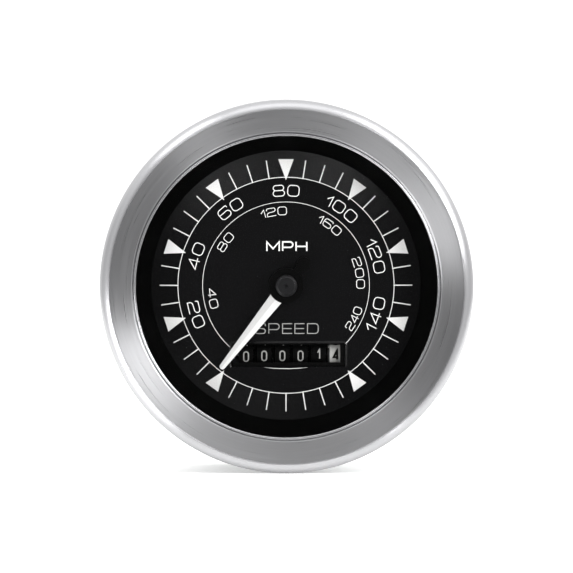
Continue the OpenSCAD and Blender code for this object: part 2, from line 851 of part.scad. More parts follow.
module field_screws() {
    color("gray")
        at_ring(field_screw_ring_r, [0, 120, 240])
            screw_y(field_screw_r, plate_back_y + field_flange_t, plate_y);
}

module pointer_staff() {
    pivot_y = spigot_y + pivot_l;
    color("#b9bcc0") {
        bar_y(staff_r, staff_front_y, spigot_y - pivot_gap);
        bar_y(pivot_r, spigot_y - pivot_gap - eps, pivot_y);
        at_pointer()
            translate([-arm_w / 2, arm_y, -arm_l])
                cube([arm_w, arm_t, arm_l]);
    }
}

module staff_bush() {
    color("#b08d57")
        difference() {
            bar_y(bush_r, plate_y - bush_lip, plate_back_y + bush_lip);
            bar_y(staff_r + running_fit, plate_y - 1, plate_back_y + 1);
        }
}

module speed_cup() {
    color("#d4d6d8")
        difference() {
            union() {
                bar_y(cup_r1, cup_front_y, cup_back_y);
                bar_y(cup_hub_r, cup_front_y - cup_hub_l, cup_front_y + cup_floor_t);
            }
            bar_y(cup_r0, cup_front_y + cup_floor_t, cup_back_y + 1);
            bar_y(staff_r + seat_fit, cup_front_y - 2, cup_back_y);
        }
}

// A flat spiral ribbon that ends beside its anchor
module hairspring() {
    per_turn = 24;
    n = hairspring_turns * per_turn;
    function middle(i) = spring_r0 + (hairspring_r - spring_r0) * i / n;
    function at(i, off) =
        let (a = spring_end_angle + (i - n) * 360 / per_turn, r = middle(i) + off)
        [r * cos(a), r * sin(a)];
    color("#5b7fae")
        seen_from_front(spring_y, spring_y + spring_w)
            polygon(concat([for (i = [0:n]) at(i, ribbon_t / 2)],
                           [for (i = [n:-1:0]) at(i, -ribbon_t / 2)]));
}

module hairspring_collet() {
    color("#c9a24a")
        difference() {
            bar_y(collet_r, collet_y, collet_y + collet_l);
            bar_y(staff_r + seat_fit, collet_y - 1, collet_y + collet_l + 1);
        }
}

module hairspring_anchor() {
    r0 = hairspring_r + ribbon_t / 2 + anchor_gap;
    color("#c9a24a")
        rotate([0, -spring_end_angle, 0])
            translate([r0, spring_y - anchor_lap, -anchor_w])
                cube([anchor_w, plate_y - spring_y + anchor_lap, anchor_w + anchor_lap]);
}

// The two pins stand beside the counterweight's side of the staff, where the arm meets them
module stop_pins_at() {
    free = (360 - pointer_swing) / 2;
    touch = asin((stop_pin_r + arm_w / 2 + stop_play) / stop_ring_r);
    for (turn = [-free, pointer_swing + free])
        rotate([0, pointer_rest + 180 + (turn < 0 ? -touch : pointer_swing + touch), 0])
            translate([0, 0, stop_ring_r])
                children();
}

module stop_pins() {
    color("#b9bcc0")
        stop_pins_at()
            bar_y(stop_pin_r, arm_y - stop_pin_lap, plate_back_y);
}

module pointer_body() {
    color("#18181a")
        difference() {
            union() {
                bar_y(hub_r, body_front_y, body_back_y);
                bar_y(socket_r, body_back_y - eps, body_back_y + socket_l);
                at_pointer() {
                    seen_from_front(blade_back_y, arm_back_y)
                        translate([-carrier_w / 2, 0])
                            square([carrier_w, carrier_share * blade_l]);
                    seen_from_front(tail_front_y, arm_back_y) {
                        translate([-tail_w / 2, -weight_d])
                            square([tail_w, weight_d]);
                        translate([0, -weight_d])
                            circle(r = weight_r);
                    }
                }
            }
            bar_y(staff_r + seat_fit, staff_front_y, body_back_y + 2);
            at_pointer()
                translate([0, 0, -weight_d])
                    bar_y(weight_r - weight_wall + seat_fit, tail_front_y + weight_cover, arm_back_y + 1);
        }
}

// The outline tapers to a round tip, and a roof-shaped section gives the two facets
module pointer_blade() {
    start = hub_r + blade_clear;
    tip_r = blade_tip_w / 2;
    slope = ridge_h / (blade_w / 2);
    deep = blade_t + ridge_h;
    color("white")
        at_pointer()
            intersection() {
                seen_from_front(blade_back_y - deep, blade_back_y)
                    difference() {
                        union() {
                            polygon([[-blade_w / 2, 0], [blade_w / 2, 0],
                                     [tip_r, blade_l - tip_r], [-tip_r, blade_l - tip_r]]);
                            translate([0, blade_l - tip_r])
                                circle(r = tip_r, $fn = 32);
                        }
                        circle(r = start);
                    }
                linear_extrude(blade_l + 1)
                    polygon([[-blade_w, blade_back_y + 1], [-blade_w, blade_back_y - deep + slope * blade_w],
                             [0, blade_back_y - deep], [blade_w, blade_back_y - deep + slope * blade_w],
                             [blade_w, blade_back_y + 1]]);
            }
}

module pointer_cap() {
    color("#3a3a3d")
        turned()
            difference() {
                polygon([[0, body_front_y], [cap_r, body_front_y], [cap_r, body_front_y - cap_h * 0.55],
                         [cap_r * 0.93, body_front_y - cap_h * 0.8], [cap_r * 0.75, body_front_y - cap_h],
                         [0, body_front_y - cap_h]]);
                translate([0, body_front_y - cap_h])
                    circle(r = dimple_r, $fn = 32);
            }
}

module counterweight() {
    color("#a5874a")
        at_pointer()
            translate([0, 0, -weight_d])
                bar_y(weight_r - weight_wall, tail_front_y + weight_cover, arm_back_y + weight_stand);
}

module cross_shaft() {
    color("#9fa2a6")
        translate([cross_x, cross_y, 0]) {
            translate([0, 0, lower_lug_z - shaft_end])
                cylinder(r = cross_shaft_r, h = upper_lug_z - lower_lug_z + lug_t + 2 * shaft_end);
            translate([0, 0, jack_zc]) {
                worm(worm2_pitch_r, worm2_root_r, -90);
                translate([0, 0, -worm_turns / 2 * worm_lead - worm_run])
                    cylinder(r = worm2_root_r, h = worm_turns * worm_lead + 2 * worm_run);
            }
        }
}

module cross_bushes() {
    color("#b08d57")
        for (z = [upper_lug_z, lower_lug_z])
            translate([cross_x, cross_y, z])
                difference() {
                    cylinder(r = cross_bush_r, h = lug_t);
                    translate([0, 0, -1])
                        cylinder(r = cross_shaft_r + running_fit, h = lug_t + 2);
                }
}

module first_worm_wheel() {
    color("#e8e2cf")
        translate([cross_x, cross_y, 0])
            difference() {
                union() {
                    translate([0, 0, -wheel_w / 2])
                        linear_extrude(wheel_w)
                            gear_outline(wheel1_teeth, 180 + 180 / wheel1_teeth);
                    translate([0, 0, -wheel_w])
                        cylinder(r = wheel_hub_r, h = 2 * wheel_w);
                }
                translate([0, 0, -wheel_w - 1])
                    cylinder(r = cross_shaft_r + seat_fit, h = 2 * wheel_w + 2);
            }
}

module jack_shaft() {
    color("#9fa2a6")
        translate([0, jack_y, jack_zc])
            bar_x(jack_shaft_r, jack_lug_x0 - shaft_end, plate_x1 + shaft_end);
}

module second_worm_wheel() {
    color("#e8e2cf")
        translate([0, jack_y, jack_zc])
            difference() {
                union() {
                    seen_from_side(cross_x - wheel_w / 2, cross_x + wheel_w / 2)
                        gear_outline(wheel2_teeth, 180 / wheel2_teeth);
                    bar_x(wheel_hub_r, cross_x, cross_x + wheel_w);
                }
                bar_x(jack_shaft_r + seat_fit, cross_x - wheel_w, cross_x + 2 * wheel_w);
            }
}

module jack_pinion() {
    angle = mesh_angle(idler_to_jack, 0, idler_teeth, jack_teeth);
    color("#c9a24a")
        translate([0, jack_y, jack_zc])
            difference() {
                seen_from_side(drive_x0, drive_x1)
                    gear_outline(jack_teeth, angle);
                bar_x(jack_shaft_r + seat_fit, drive_x0 - 1, drive_x1 + 1);
            }
}

module idler_gear() {
    color("#e8e2cf")
        translate([0, idler_y, idler_z])
            difference() {
                seen_from_side(drive_x0, drive_x1)
                    gear_outline(idler_teeth, 0);
                bar_x(idler_stud_r + running_fit, drive_x0 - 1, drive_x1 + 1);
            }
}

module idler_stud() {
    color("#9fa2a6")
        translate([0, idler_y, idler_z]) {
            bar_x(idler_stud_r, drive_x0 - idler_play, plate_x1 + shaft_end);
            bar_x(idler_stud_r + stud_head_w, drive_x0 - idler_play - stud_head_t, drive_x0 - idler_play);
            bar_x(idler_stud_r + stud_head_w, plate_x0 - idler_play, plate_x0);
        }
}

// Holes or screws at the two feet of the odometer's side plates
module cheek_screws_at() {
    for (x = [cheek_x1 - cheek_screw_x, plate_x0 + cheek_screw_x], z = cheek_screw_zs)
        translate([x, 0, z])
            children();
}

// Shaft holes that both side plates share
module side_plate_holes(x0, x1) {
    translate([0, drum_y, drum_z])
        bar_x(drum_shaft_r + seat_fit, x0 - 1, x1 + 1);
    translate([0, drum_y, pinion_z])
        bar_x(pinion_shaft_r + seat_fit, x0 - 1, x1 + 1);
}

// The front part of both side plates, rounded at its two free corners
module side_outline() {
    y = cheek_front_y + cheek_corner_r;
    polygon(concat([[plate_y, cheek_bottom_z]],
                   round_corner(y, cheek_bottom_z + cheek_corner_r, cheek_corner_r, 270, 180),
                   round_corner(y, cheek_top_z - cheek_corner_r, cheek_corner_r, 180, 90),
                   [[plate_y, cheek_top_z]]));
}

module odometer_cheek() {
    color("#1c1c1e")
        difference() {
            union() {
                seen_from_side(cheek_x0, cheek_x1)
                    side_outline();
                translate([cheek_x1 - cheek_foot_w, plate_y - cheek_t, cheek_bottom_z])
                    cube([cheek_foot_w, cheek_t, cheek_top_z - cheek_bottom_z]);
            }
            side_plate_holes(cheek_x0, cheek_x1);
            cheek_screws_at()
                bar_y(cheek_screw_r + screw_clear, plate_y - cheek_t - 1, plate_y + 1);
        }
}

module odometer_gear_plate() {
    rear_r = 3;
    color("#8d8f92")
        difference() {
            union() {
                seen_from_side(plate_x0, plate_x1) {
                    side_outline();
                    polygon([[plate_y - eps, idler_z - rear_r], [jack_y, jack_zc - rear_r],
                             [jack_y, jack_zc + rear_r], [plate_y - eps, idler_z + rear_r]]);
                    translate([jack_y, jack_zc])
                        circle(r = rear_r);
                }
                translate([plate_x0, plate_y - cheek_t, cheek_bottom_z])
                    cube([cheek_foot_w, cheek_t, cheek_top_z - cheek_bottom_z]);
            }
            side_plate_holes(plate_x0, plate_x1);
            translate([0, jack_y, jack_zc])
                bar_x(jack_shaft_r + running_fit, plate_x0 - 1, plate_x1 + 1);
            translate([0, idler_y, idler_z])
                bar_x(idler_stud_r + seat_fit, plate_x0 - 1, plate_x1 + 1);
            cheek_screws_at()
                bar_y(cheek_screw_r + screw_clear, plate_y - cheek_t - 1, plate_y + 1);
        }
}

module odometer_screws() {
    color("gray")
        cheek_screws_at()
            screw_y(cheek_screw_r, plate_y - cheek_t, plate_back_y);
}

module odometer_shaft() {
    color("#b9bcc0")
        translate([0, drum_y, drum_z])
            bar_x(drum_shaft_r, cheek_x0 - shaft_end, plate_x1 + shaft_end);
}

module pinion_shaft() {
    color("#b9bcc0")
        translate([0, drum_y, pinion_z])
            bar_x(pinion_shaft_r, cheek_x0 - shaft_end, plate_x1 + shaft_end);
}

module drum_drive_gear() {
    angle = mesh_angle(idler_to_drive, 0, idler_teeth, drive_teeth);
    hub_x = drum_x(0) + drum_w / 2;
    color("#e8e2cf")
        translate([0, drum_y, drum_z])
            difference() {
                union() {
                    seen_from_side(drive_x0, drive_x1)
                        gear_outline(drive_teeth, angle);
                    bar_x(drum_hub_r, hub_x, drive_x1);
                }
                bar_x(drum_shaft_r + running_fit, hub_x - 1, drive_x1 + 1);
            }
}

function drum_x(i) = drums_x + (2.5 - i) * drum_pitch;

// Place 0 is the tenths drum: it has no transfer gear, and the last drum has no carry teeth
module number_drum(i) {
    x = drum_x(i);
    left = x - drum_w / 2;
    right = x + drum_w / 2;
    hub_left = i == len(DRUMS) - 1 ? left : x - drum_pitch / 2 + hub_play / 2;
    hub_right = i == 0 ? right : x + drum_pitch / 2 - hub_play / 2;
    color(i == 0 ? "white" : "#1a1a1c")
        translate([0, drum_y, drum_z])
            difference() {
                union() {
                    bar_x(drum_r, left, right);
                    bar_x(drum_hub_r, hub_left, hub_right);
                    if (i > 0)
                        seen_from_side(right, right + side_disc_t)
                            rotate(90)
                                polygon(gear_points(transfer_teeth, transfer_m, transfer_add,
                                                    transfer_ded, transfer_backlash));
                    if (i < len(DRUMS) - 1)
                        seen_from_side(left - side_disc_t, left)
                            carry_outline();
                }
                bar_x(drum_shaft_r + running_fit, hub_left - 1, hub_right + 1);
                difference() {
                    bar_x(drum_r - drum_rim_t, left, right - drum_web_t);
                    bar_x(locking_r, left - 1, right);
                }
            }
}

// A smooth locking disc with the two teeth that carry to the next drum
module carry_outline() {
    circle(r = locking_r);
    for (a = [90 + carry_angle, 90 + carry_angle + 360 / transfer_teeth])
        rotate(a)
            polygon([[locking_r / 2, -carry_root_w / 2], [transfer_r + transfer_add, -carry_tip_w / 2],
                     [transfer_r + transfer_add, carry_tip_w / 2], [locking_r / 2, carry_root_w / 2]]);
}

// Pinion i stands between drum i - 1 and drum i, and its hub spaces it from the next one
module transfer_pinion(i) {
    x = drum_x(i) + drum_pitch / 2;
    hub_l = drum_pitch - pinion_stack_gap;
    color("#d8d4c4")
        translate([0, drum_y, pinion_z])
            difference() {
                union() {
                    seen_from_side(x - pinion_w / 2, x + pinion_w / 2)
                        rotate(-90 + 180 / pinion_teeth)
                            polygon(gear_points(pinion_teeth, transfer_m, transfer_add,
                                                transfer_ded, transfer_backlash));
                    bar_x(pinion_hub_r, x - hub_l / 2, x + hub_l / 2);
                }
                bar_x(pinion_shaft_r + running_fit, x - hub_l, x + hub_l);
            }
}

bezel();
lens();
lens_gasket();
reflector_ring();
dial_plate();
case_can();
case_screws();
mounting_studs();
lamp_holders();
lamp_bulbs();
frame_casting();
cable_stem();
front_plate();
frame_screws();
dial_screws();
stem_bushes();
input_shaft();
drive_worm();
magnet();
field_ring();
field_screws();
pointer_staff();
staff_bush();
speed_cup();
hairspring();
hairspring_collet();
hairspring_anchor();
stop_pins();
pointer_body();
pointer_blade();
pointer_cap();
counterweight();
cross_shaft();
cross_bushes();
first_worm_wheel();
jack_shaft();
second_worm_wheel();
jack_pinion();
idler_gear();
idler_stud();
odometer_cheek();
odometer_gear_plate();
odometer_screws();
odometer_shaft();
pinion_shaft();
drum_drive_gear();
number_drum(0);  // drum_tenths
number_drum(1);  // drum_units
number_drum(2);  // drum_tens
number_drum(3);  // drum_hundreds
number_drum(4);  // drum_thousands
number_drum(5);  // drum_ten_thousands
transfer_pinion(1);  // transfer_pinion_1
transfer_pinion(2);  // transfer_pinion_2
transfer_pinion(3);  // transfer_pinion_3
transfer_pinion(4);  // transfer_pinion_4
transfer_pinion(5);  // transfer_pinion_5
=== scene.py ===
import math

import bpy
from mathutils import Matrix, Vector


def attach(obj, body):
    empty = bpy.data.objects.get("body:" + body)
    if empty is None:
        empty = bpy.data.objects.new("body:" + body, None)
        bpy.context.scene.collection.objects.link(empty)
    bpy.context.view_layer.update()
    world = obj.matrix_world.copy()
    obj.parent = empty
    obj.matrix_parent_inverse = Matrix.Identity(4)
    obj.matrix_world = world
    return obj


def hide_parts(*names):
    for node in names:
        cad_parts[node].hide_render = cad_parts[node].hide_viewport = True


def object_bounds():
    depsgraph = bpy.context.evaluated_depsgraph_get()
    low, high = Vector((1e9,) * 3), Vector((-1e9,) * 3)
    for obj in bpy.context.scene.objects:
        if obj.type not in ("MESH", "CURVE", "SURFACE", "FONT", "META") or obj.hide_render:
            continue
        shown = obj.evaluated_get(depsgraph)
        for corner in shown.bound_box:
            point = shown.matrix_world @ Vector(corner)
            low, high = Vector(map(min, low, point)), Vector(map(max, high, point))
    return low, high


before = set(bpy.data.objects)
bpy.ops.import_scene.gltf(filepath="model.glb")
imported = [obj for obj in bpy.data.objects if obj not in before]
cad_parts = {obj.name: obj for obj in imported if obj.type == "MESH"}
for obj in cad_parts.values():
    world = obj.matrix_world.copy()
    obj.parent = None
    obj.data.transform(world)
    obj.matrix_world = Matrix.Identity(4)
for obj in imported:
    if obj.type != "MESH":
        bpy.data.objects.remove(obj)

cad_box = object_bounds()

# ---------------------------------------------------------------- the studio
# A lit table of opal acrylic that the bezel stands on, white surroundings at
# the sides and behind, a dim room behind the camera, and soft boxes. The
# camera looks almost straight at the dial from a little above and to the left.
MM = 0.001
GRAIN_DETAIL, GRAIN_RELIEF = 4.0, 0.6
NOISE_LOW, NOISE_HIGH = 0.3, 0.7  # noise seldom leaves these values


def linear(hexa):
    """An sRGB hex colour as the linear colour that a shader takes."""
    steps = [int(hexa[i:i + 2], 16) / 255 for i in (1, 3, 5)]
    return [v / 12.92 if v <= 0.04045 else ((v + 0.055) / 1.055) ** 2.4 for v in steps] + [1.0]


def put(tree, kind, values=None, **settings):
    """A node with its settings, and its inputs set or linked. Map Range takes its old range at
    1 and 2 and its new one at 3 and 4; Mix takes its factor at 0 and two colours at 6 and 7."""
    made = tree.nodes.new(kind)
    for name, value in settings.items():
        setattr(made, name, value)
    for name, value in (values or {}).items():
        if isinstance(value, bpy.types.NodeSocket):
            tree.links.new(value, made.inputs[name])
        else:
            made.inputs[name].default_value = value
    return made


def finish_inputs(material):
    """The sockets of a material's shader."""
    return material.node_tree.nodes["Principled BSDF"].inputs


def grained(name, dark, light, metal, smooth, rough, grain_mm, lift_mm, shine=0.5):
    """A finish whose tone, polish and surface all follow one fine grain."""
    material = bpy.data.materials.new(name)
    material.use_nodes = True
    tree, finish = material.node_tree, finish_inputs(material)
    place = put(tree, "ShaderNodeTexCoord").outputs["Object"]
    grain = put(tree, "ShaderNodeTexNoise", {"Vector": place, "Scale": 1 / (grain_mm * MM),
                                             "Detail": GRAIN_DETAIL}).outputs[0]
    tone = put(tree, "ShaderNodeMix", {0: grain, 6: linear(dark), 7: linear(light)},
               data_type="RGBA")
    polish = put(tree, "ShaderNodeMapRange", {"Value": grain, 1: NOISE_LOW, 2: NOISE_HIGH,
                                              3: smooth, 4: rough})
    relief = put(tree, "ShaderNodeBump", {"Height": grain, "Strength": GRAIN_RELIEF,
                                          "Distance": lift_mm * MM})
    tree.links.new(tone.outputs[2], finish["Base Color"])
    tree.links.new(polish.outputs[0], finish["Roughness"])
    tree.links.new(relief.outputs[0], finish["Normal"])
    finish["Metallic"].default_value = metal
    finish["Specular IOR Level"].default_value = shine
    return material


def dress(material, *nodes):
    """The finish of pieces that come from the CAD as they are."""
    for name in nodes:
        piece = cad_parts[name]
        if not piece.material_slots:
            piece.data.materials.append(material)
        for slot in piece.material_slots:
            slot.material = material


scene = bpy.context.scene
scene.view_settings.view_transform = "Standard"
scene.view_settings.look = "None"

view_elevation, view_azimuth = math.radians(2.1), math.radians(-1.1)
view_distance, view_half_width = 4.0, 0.0705
aim = Vector((-0.08, -7.0, 0.09)) * MM
towards = Vector((math.sin(view_azimuth) * math.cos(view_elevation),
                  -math.cos(view_azimuth) * math.cos(view_elevation), math.sin(view_elevation)))
camera_data = bpy.data.cameras.new("camera")
camera_data.sensor_width = 36
camera_data.lens = camera_data.sensor_width * view_distance / (2 * view_half_width)
camera = bpy.data.objects.new("camera", camera_data)
camera.location = aim + towards * view_distance
camera.rotation_euler = (-towards).to_track_quat("-Z", "Y").to_euler()
scene.collection.objects.link(camera)
scene.camera = camera

# The room's brightness by direction. Depth runs from -1 behind the camera to 1
# behind the object. The camera itself sees plain white all round.
room = bpy.data.worlds.new("room")
room.use_nodes = True
scene.world = room
sky = room.node_tree
direction = put(sky, "ShaderNodeTexCoord").outputs["Generated"]
parts = put(sky, "ShaderNodeSeparateXYZ", {0: direction}).outputs
depth = parts["Y"]
front_wall = put(sky, "ShaderNodeMapRange", {"Value": depth, 1: -0.96, 2: -0.5, 3: 0.1, 4: 1.45},
                 interpolation_type="SMOOTHSTEP").outputs[0]
back_wall = put(sky, "ShaderNodeMapRange", {"Value": depth, 1: 0.0, 2: 0.8,
                                            3: 1.0, 4: 0.9}).outputs[0]
walls = put(sky, "ShaderNodeMath", {0: front_wall, 1: back_wall}, operation="MULTIPLY").outputs[0]
# A grey flag stands level with the dial at each side and darkens the rim there
sideways = put(sky, "ShaderNodeMath", {0: parts["X"]}, operation="ABSOLUTE").outputs[0]
flags = put(sky, "ShaderNodeMapRange", {"Value": sideways, 1: 0.76, 2: 0.98, 3: 1.0, 4: 0.62},
            interpolation_type="SMOOTHSTEP").outputs[0]
flagged = put(sky, "ShaderNodeMath", {0: walls, 1: flags}, operation="MULTIPLY").outputs[0]
seen = put(sky, "ShaderNodeLightPath").outputs["Is Camera Ray"]
glow = put(sky, "ShaderNodeMath", {0: flagged, 1: seen}, operation="MAXIMUM").outputs[0]
sky.nodes["Background"].inputs["Color"].default_value = linear("#FFFFFF")
sky.links.new(glow, sky.nodes["Background"].inputs["Strength"])


def soft_box(name, clock, off_axis, distance, size, watts):
    """Clock is the box's direction round the dial, off_axis its angle from the dial's axis."""
    a, b = math.radians(clock), math.radians(off_axis)
    data = bpy.data.lights.new(name, "AREA")
    data.shape = "SQUARE"
    data.size = size
    data.energy = watts
    box = bpy.data.objects.new(name, data)
    box.location = Vector((math.cos(a) * math.sin(b), -math.cos(b),
                           math.sin(a) * math.sin(b))) * distance
    box.rotation_euler = box.location.to_track_quat("Z", "Y").to_euler()
    scene.collection.objects.link(box)


# Name, clock, off_axis, distance, size and watts. The boxes draw the rays on
# the bezel and light the print; the weak cards stand near the dial's axis.
LIGHTS = [("box_right", 28, 50, 1.3, 0.6, 12.3),
          ("box_left", 206, 52, 1.4, 0.7, 9.3),
          ("box_lower_left", 240, 60, 1.3, 0.5, 3.4),
          ("box_lower_right", 301, 48, 1.3, 0.35, 1.6),
          ("box_upper_right", 58, 74, 1.3, 0.5, 3.2),
          ("box_upper_left", 124, 74, 1.3, 0.5, 3.2),
          ("card_right", 58, 11.5, 1.3, 0.17, 0.22),
          ("card_left", 121, 11.5, 1.3, 0.17, 0.17),
          ("card_low", 255, 15, 1.3, 0.3, 0.1),
          ("box_top", 90, 74, 1.3, 0.8, 2.2)]
for light in LIGHTS:
    soft_box(*light)

# The table's front edge lies just ahead of the bezel, and the rest behind it
table_radius, table_middle, table_gap = 0.4, 0.38, 0.05 * MM
bpy.ops.object.select_all(action="DESELECT")
bpy.ops.mesh.primitive_circle_add(vertices=96, radius=table_radius, fill_type="NGON",
                                  location=(0, table_middle, cad_box[0].z - table_gap))
floor = bpy.context.object
floor.name = "floor"
bpy.ops.object.transform_apply(location=True)
# Opal acrylic lit from below, as product tables are: white, with hardly a shadow
opal = grained("opal_acrylic", "#F4F4F3", "#FBFBFA", 0.0, 0.75, 0.9, 30, 0.05)
finish_inputs(opal)["Emission Color"].default_value = linear("#FFFFFF")
finish_inputs(opal)["Emission Strength"].default_value = 0.35
floor.data.materials.append(opal)

# ------------------------------------------------------- base and cable stem
# The movement stands on a die-cast zinc base with three pillars and the lugs
# of the gear shafts. The stem that takes the cable is staked into it and
# carries two bronze bushes for the input shaft.

# Die-cast zinc: grey, with a fine cast skin
cast_zinc = grained("die_cast_zinc", "#7E8082", "#A3A5A6", 1.0, 0.34, 0.55, 0.5, 0.03)
dress(cast_zinc, "frame_casting", "cable_stem")
# Oil-soaked sintered bronze: warm and dull, with fine pores
bush_bronze = grained("sintered_bronze", "#7D5C33", "#A8834C", 1.0, 0.35, 0.5, 0.15, 0.01)
dress(bush_bronze, "stem_bushes", "cross_bushes", "staff_bush")

# ------------------------------------------------- input shaft, worm, magnet
# A ground steel shaft turned by the cable, with a brass worm pressed on and
# the bar magnet staked on its front spigot.

# Ground steel: bright, with a close sheen
ground_steel = grained("ground_steel", "#8F9296", "#B9BCC0", 1.0, 0.16, 0.3, 0.25, 0.004)
dress(ground_steel, "input_shaft", "cross_shaft", "jack_shaft", "idler_stud", "odometer_shaft",
      "pinion_shaft", "pointer_staff", "stop_pins")
# Free-cutting brass, bright from the tool
turned_brass = grained("turned_brass", "#A8823C", "#D0AA5C", 1.0, 0.18, 0.32, 0.3, 0.005)
dress(turned_brass, "drive_worm", "jack_pinion", "hairspring_collet", "hairspring_anchor",
      "counterweight")
# Cast magnet alloy: dark grey, sandy where it isn't ground
magnet_alloy = grained("cast_magnet_alloy", "#3E4043", "#5F6266", 1.0, 0.4, 0.6, 0.4, 0.03)
dress(magnet_alloy, "magnet")

# --------------------------------------------- front plate, field ring, cup
# Zinc-plated steel plate screwed on the pillars, with the steel field ring
# behind it round the spun aluminium speed cup, and the blued hairspring.

# Zinc-plated sheet steel: even and half bright, faintly cloudy
zinc_plate = grained("zinc_plated_steel", "#86898A", "#989B9B", 1.0, 0.27, 0.35, 4.0, 0.004)
dress(zinc_plate, "front_plate", "odometer_gear_plate", "field_ring", "case_can")
# Plated screw steel: brighter and closer than the sheet
screw_steel = grained("plated_screw_steel", "#8E9194", "#A4A7A9", 1.0, 0.22, 0.3, 1.0, 0.002)
dress(screw_steel, "frame_screws", "dial_screws", "field_screws", "odometer_screws", "case_screws")
# Spun aluminium: pale and satin
spun_aluminium = grained("spun_aluminium", "#B9BBBD", "#DCDDDF", 1.0, 0.22, 0.36, 0.3, 0.005)
dress(spun_aluminium, "speed_cup")
# Spring steel blued by heat: dark blue, with a polished strip's gloss
blued_steel = grained("blued_spring_steel", "#27406B", "#4A6A9C", 1.0, 0.2, 0.3, 0.3, 0.003)
dress(blued_steel, "hairspring")

# -------------------------------------------------------------- gear train
# Wheels and pinions moulded in natural nylon. The worm wheels are fixed on
# their shafts and the drive gear on the tenths drum; the idler and the
# transfer pinions run loose on their stud and shaft.

# Natural nylon: milky, faintly yellow, slightly waxy
nylon = grained("natural_nylon", "#D9D2BA", "#EBE6D6", 0.0, 0.32, 0.45, 0.5, 0.01)
dress(nylon, "first_worm_wheel", "second_worm_wheel", "idler_gear", "drum_drive_gear",
      "transfer_pinion_1", "transfer_pinion_2", "transfer_pinion_3", "transfer_pinion_4",
      "transfer_pinion_5")

# ---------------------------------------------------------------- odometer
# Six moulded drums on one shaft between two side plates. Five are black with
# white figures; the tenths drum has a white rim with black figures. The
# figures are stamped on with a foil.
ODOMETER_DEPTH, ODOMETER_HEIGHT, DRUM_RADIUS = 11.2, -17.4, 6.15
LAYERS, LAYER_STEP = 3, 0.004  # lines lie in layers by turns, so that they can cross
STRAIGHT = 0

# Each sign is a list of pen lines in a unit square. A point with a third
# value keeps its corner sharp; a line that starts with True is closed.
SIGNS = {
    "0": [[True, (0, 0), (1, 0), (1, 1), (0, 1)]],
    "1": [[False, (0.42, 0), (0.42, 1, STRAIGHT), (0, 0.62)]],
    "2": [[False, (0, 0.74), (0, 1), (1, 1), (1, 0.53), (0, 0.45), (0, 0, STRAIGHT), (1, 0)]],
    "3": [[False, (0, 0.82), (0, 1), (1, 1), (1, 0), (0, 0), (0, 0.18)],
          [False, (0.3, 0.52), (1, 0.52)]],
    "4": [[False, (0.74, 0), (0.74, 1, STRAIGHT), (0, 0.25, STRAIGHT), (1, 0.25)]],
    "5": [[False, (0.95, 1), (0, 1, STRAIGHT), (0, 0.58, STRAIGHT), (1, 0.58), (1, 0), (0, 0),
           (0, 0.18)]],
    "6": [[False, (1, 0.8), (1, 1), (0, 1), (0, 0), (1, 0), (1, 0.56), (0, 0.56)]],
    "7": [[False, (0, 1), (1, 1, STRAIGHT), (0.35, 0)]],
    "8": [[True, (0, 0), (1, 0), (1, 0.52), (0, 0.52)],
          [True, (0.04, 0.52), (0.96, 0.52), (0.96, 1), (0.04, 1)]],
    "9": [[False, (0, 0.2), (0, 0), (1, 0), (1, 1), (0, 1), (0, 0.44), (1, 0.44)]],
    "S": [[False, (1, 0.76), (1, 1), (0, 1), (0, 0.53), (1, 0.47), (1, 0), (0, 0), (0, 0.24)]],
    "P": [[False, (0, 0), (0, 1, STRAIGHT), (1, 1), (1, 0.4), (0, 0.4)]],
    "E": [[False, (1, 0), (0, 0, STRAIGHT), (0, 1, STRAIGHT), (1, 1)],
          [False, (0, 0.5), (0.95, 0.5)]],
    "D": [[True, (0, 0, STRAIGHT), (1, 0), (1, 1), (0, 1, STRAIGHT)]],
    "M": [[False, (0, 0), (0, 1, STRAIGHT), (0.5, 0.25, STRAIGHT), (1, 1, STRAIGHT), (1, 0)]],
    "H": [[False, (0, 0), (0, 1)], [False, (1, 0), (1, 1)], [False, (0, 0.5), (1, 0.5)]],
}
SIGN_WIDTHS = {"1": 0.42}
CORNER_PIECES = 6
SHARPEST_MITRE = 0.45


def rounded(points, closed, corner):
    """The pen's path with its corners turned on a radius."""
    path = []
    for i, point in enumerate(points):
        here = Vector(point[:2])
        if len(point) == 3 or (not closed and i in (0, len(points) - 1)):
            path.append(here)
            continue
        before = Vector(points[i - 1][:2]) - here
        after = Vector(points[(i + 1) % len(points)][:2]) - here
        reach = min(corner, before.length / 2, after.length / 2)
        start, end = here + before.normalized() * reach, here + after.normalized() * reach
        for k in range(CORNER_PIECES + 1):
            t = k / CORNER_PIECES
            a, b, c = (1 - t) ** 2, 2 * t * (1 - t) * math.sqrt(0.5), t * t
            path.append((start * a + here * b + end * c) / (a + b + c))
    return path


def split(path, closed, step):
    """The same path with no stretch longer than a step, so that it can follow a curved surface."""
    fine = []
    for i, here in enumerate(path):
        fine.append(here)
        if i + 1 < len(path) or closed:
            there = path[(i + 1) % len(path)]
            count = math.ceil((there - here).length / step)
            fine += [here.lerp(there, k / count) for k in range(1, count)]
    return fine


def pen_line(path, closed, pen):
    """Left and right edges of a line drawn along a path with a pen of that width."""
    path = [p for i, p in enumerate(path)
            if (i == 0 and not closed) or (p - path[i - 1]).length > 1e-6]
    left, right = [], []
    for i, here in enumerate(path):
        ahead = path[(i + 1) % len(path)] - here if closed or i + 1 < len(path) else None
        behind = here - path[i - 1] if closed or i > 0 else ahead
        ahead = behind if ahead is None else ahead
        ahead, behind = ahead.normalized(), behind.normalized()
        along = (ahead + behind).normalized()
        side = Vector((-along.y, along.x))
        half = pen / 2 / max(side.dot(Vector((-ahead.y, ahead.x))), SHARPEST_MITRE)
        left.append(here + side * half)
        right.append(here - side * half)
    return left, right, closed


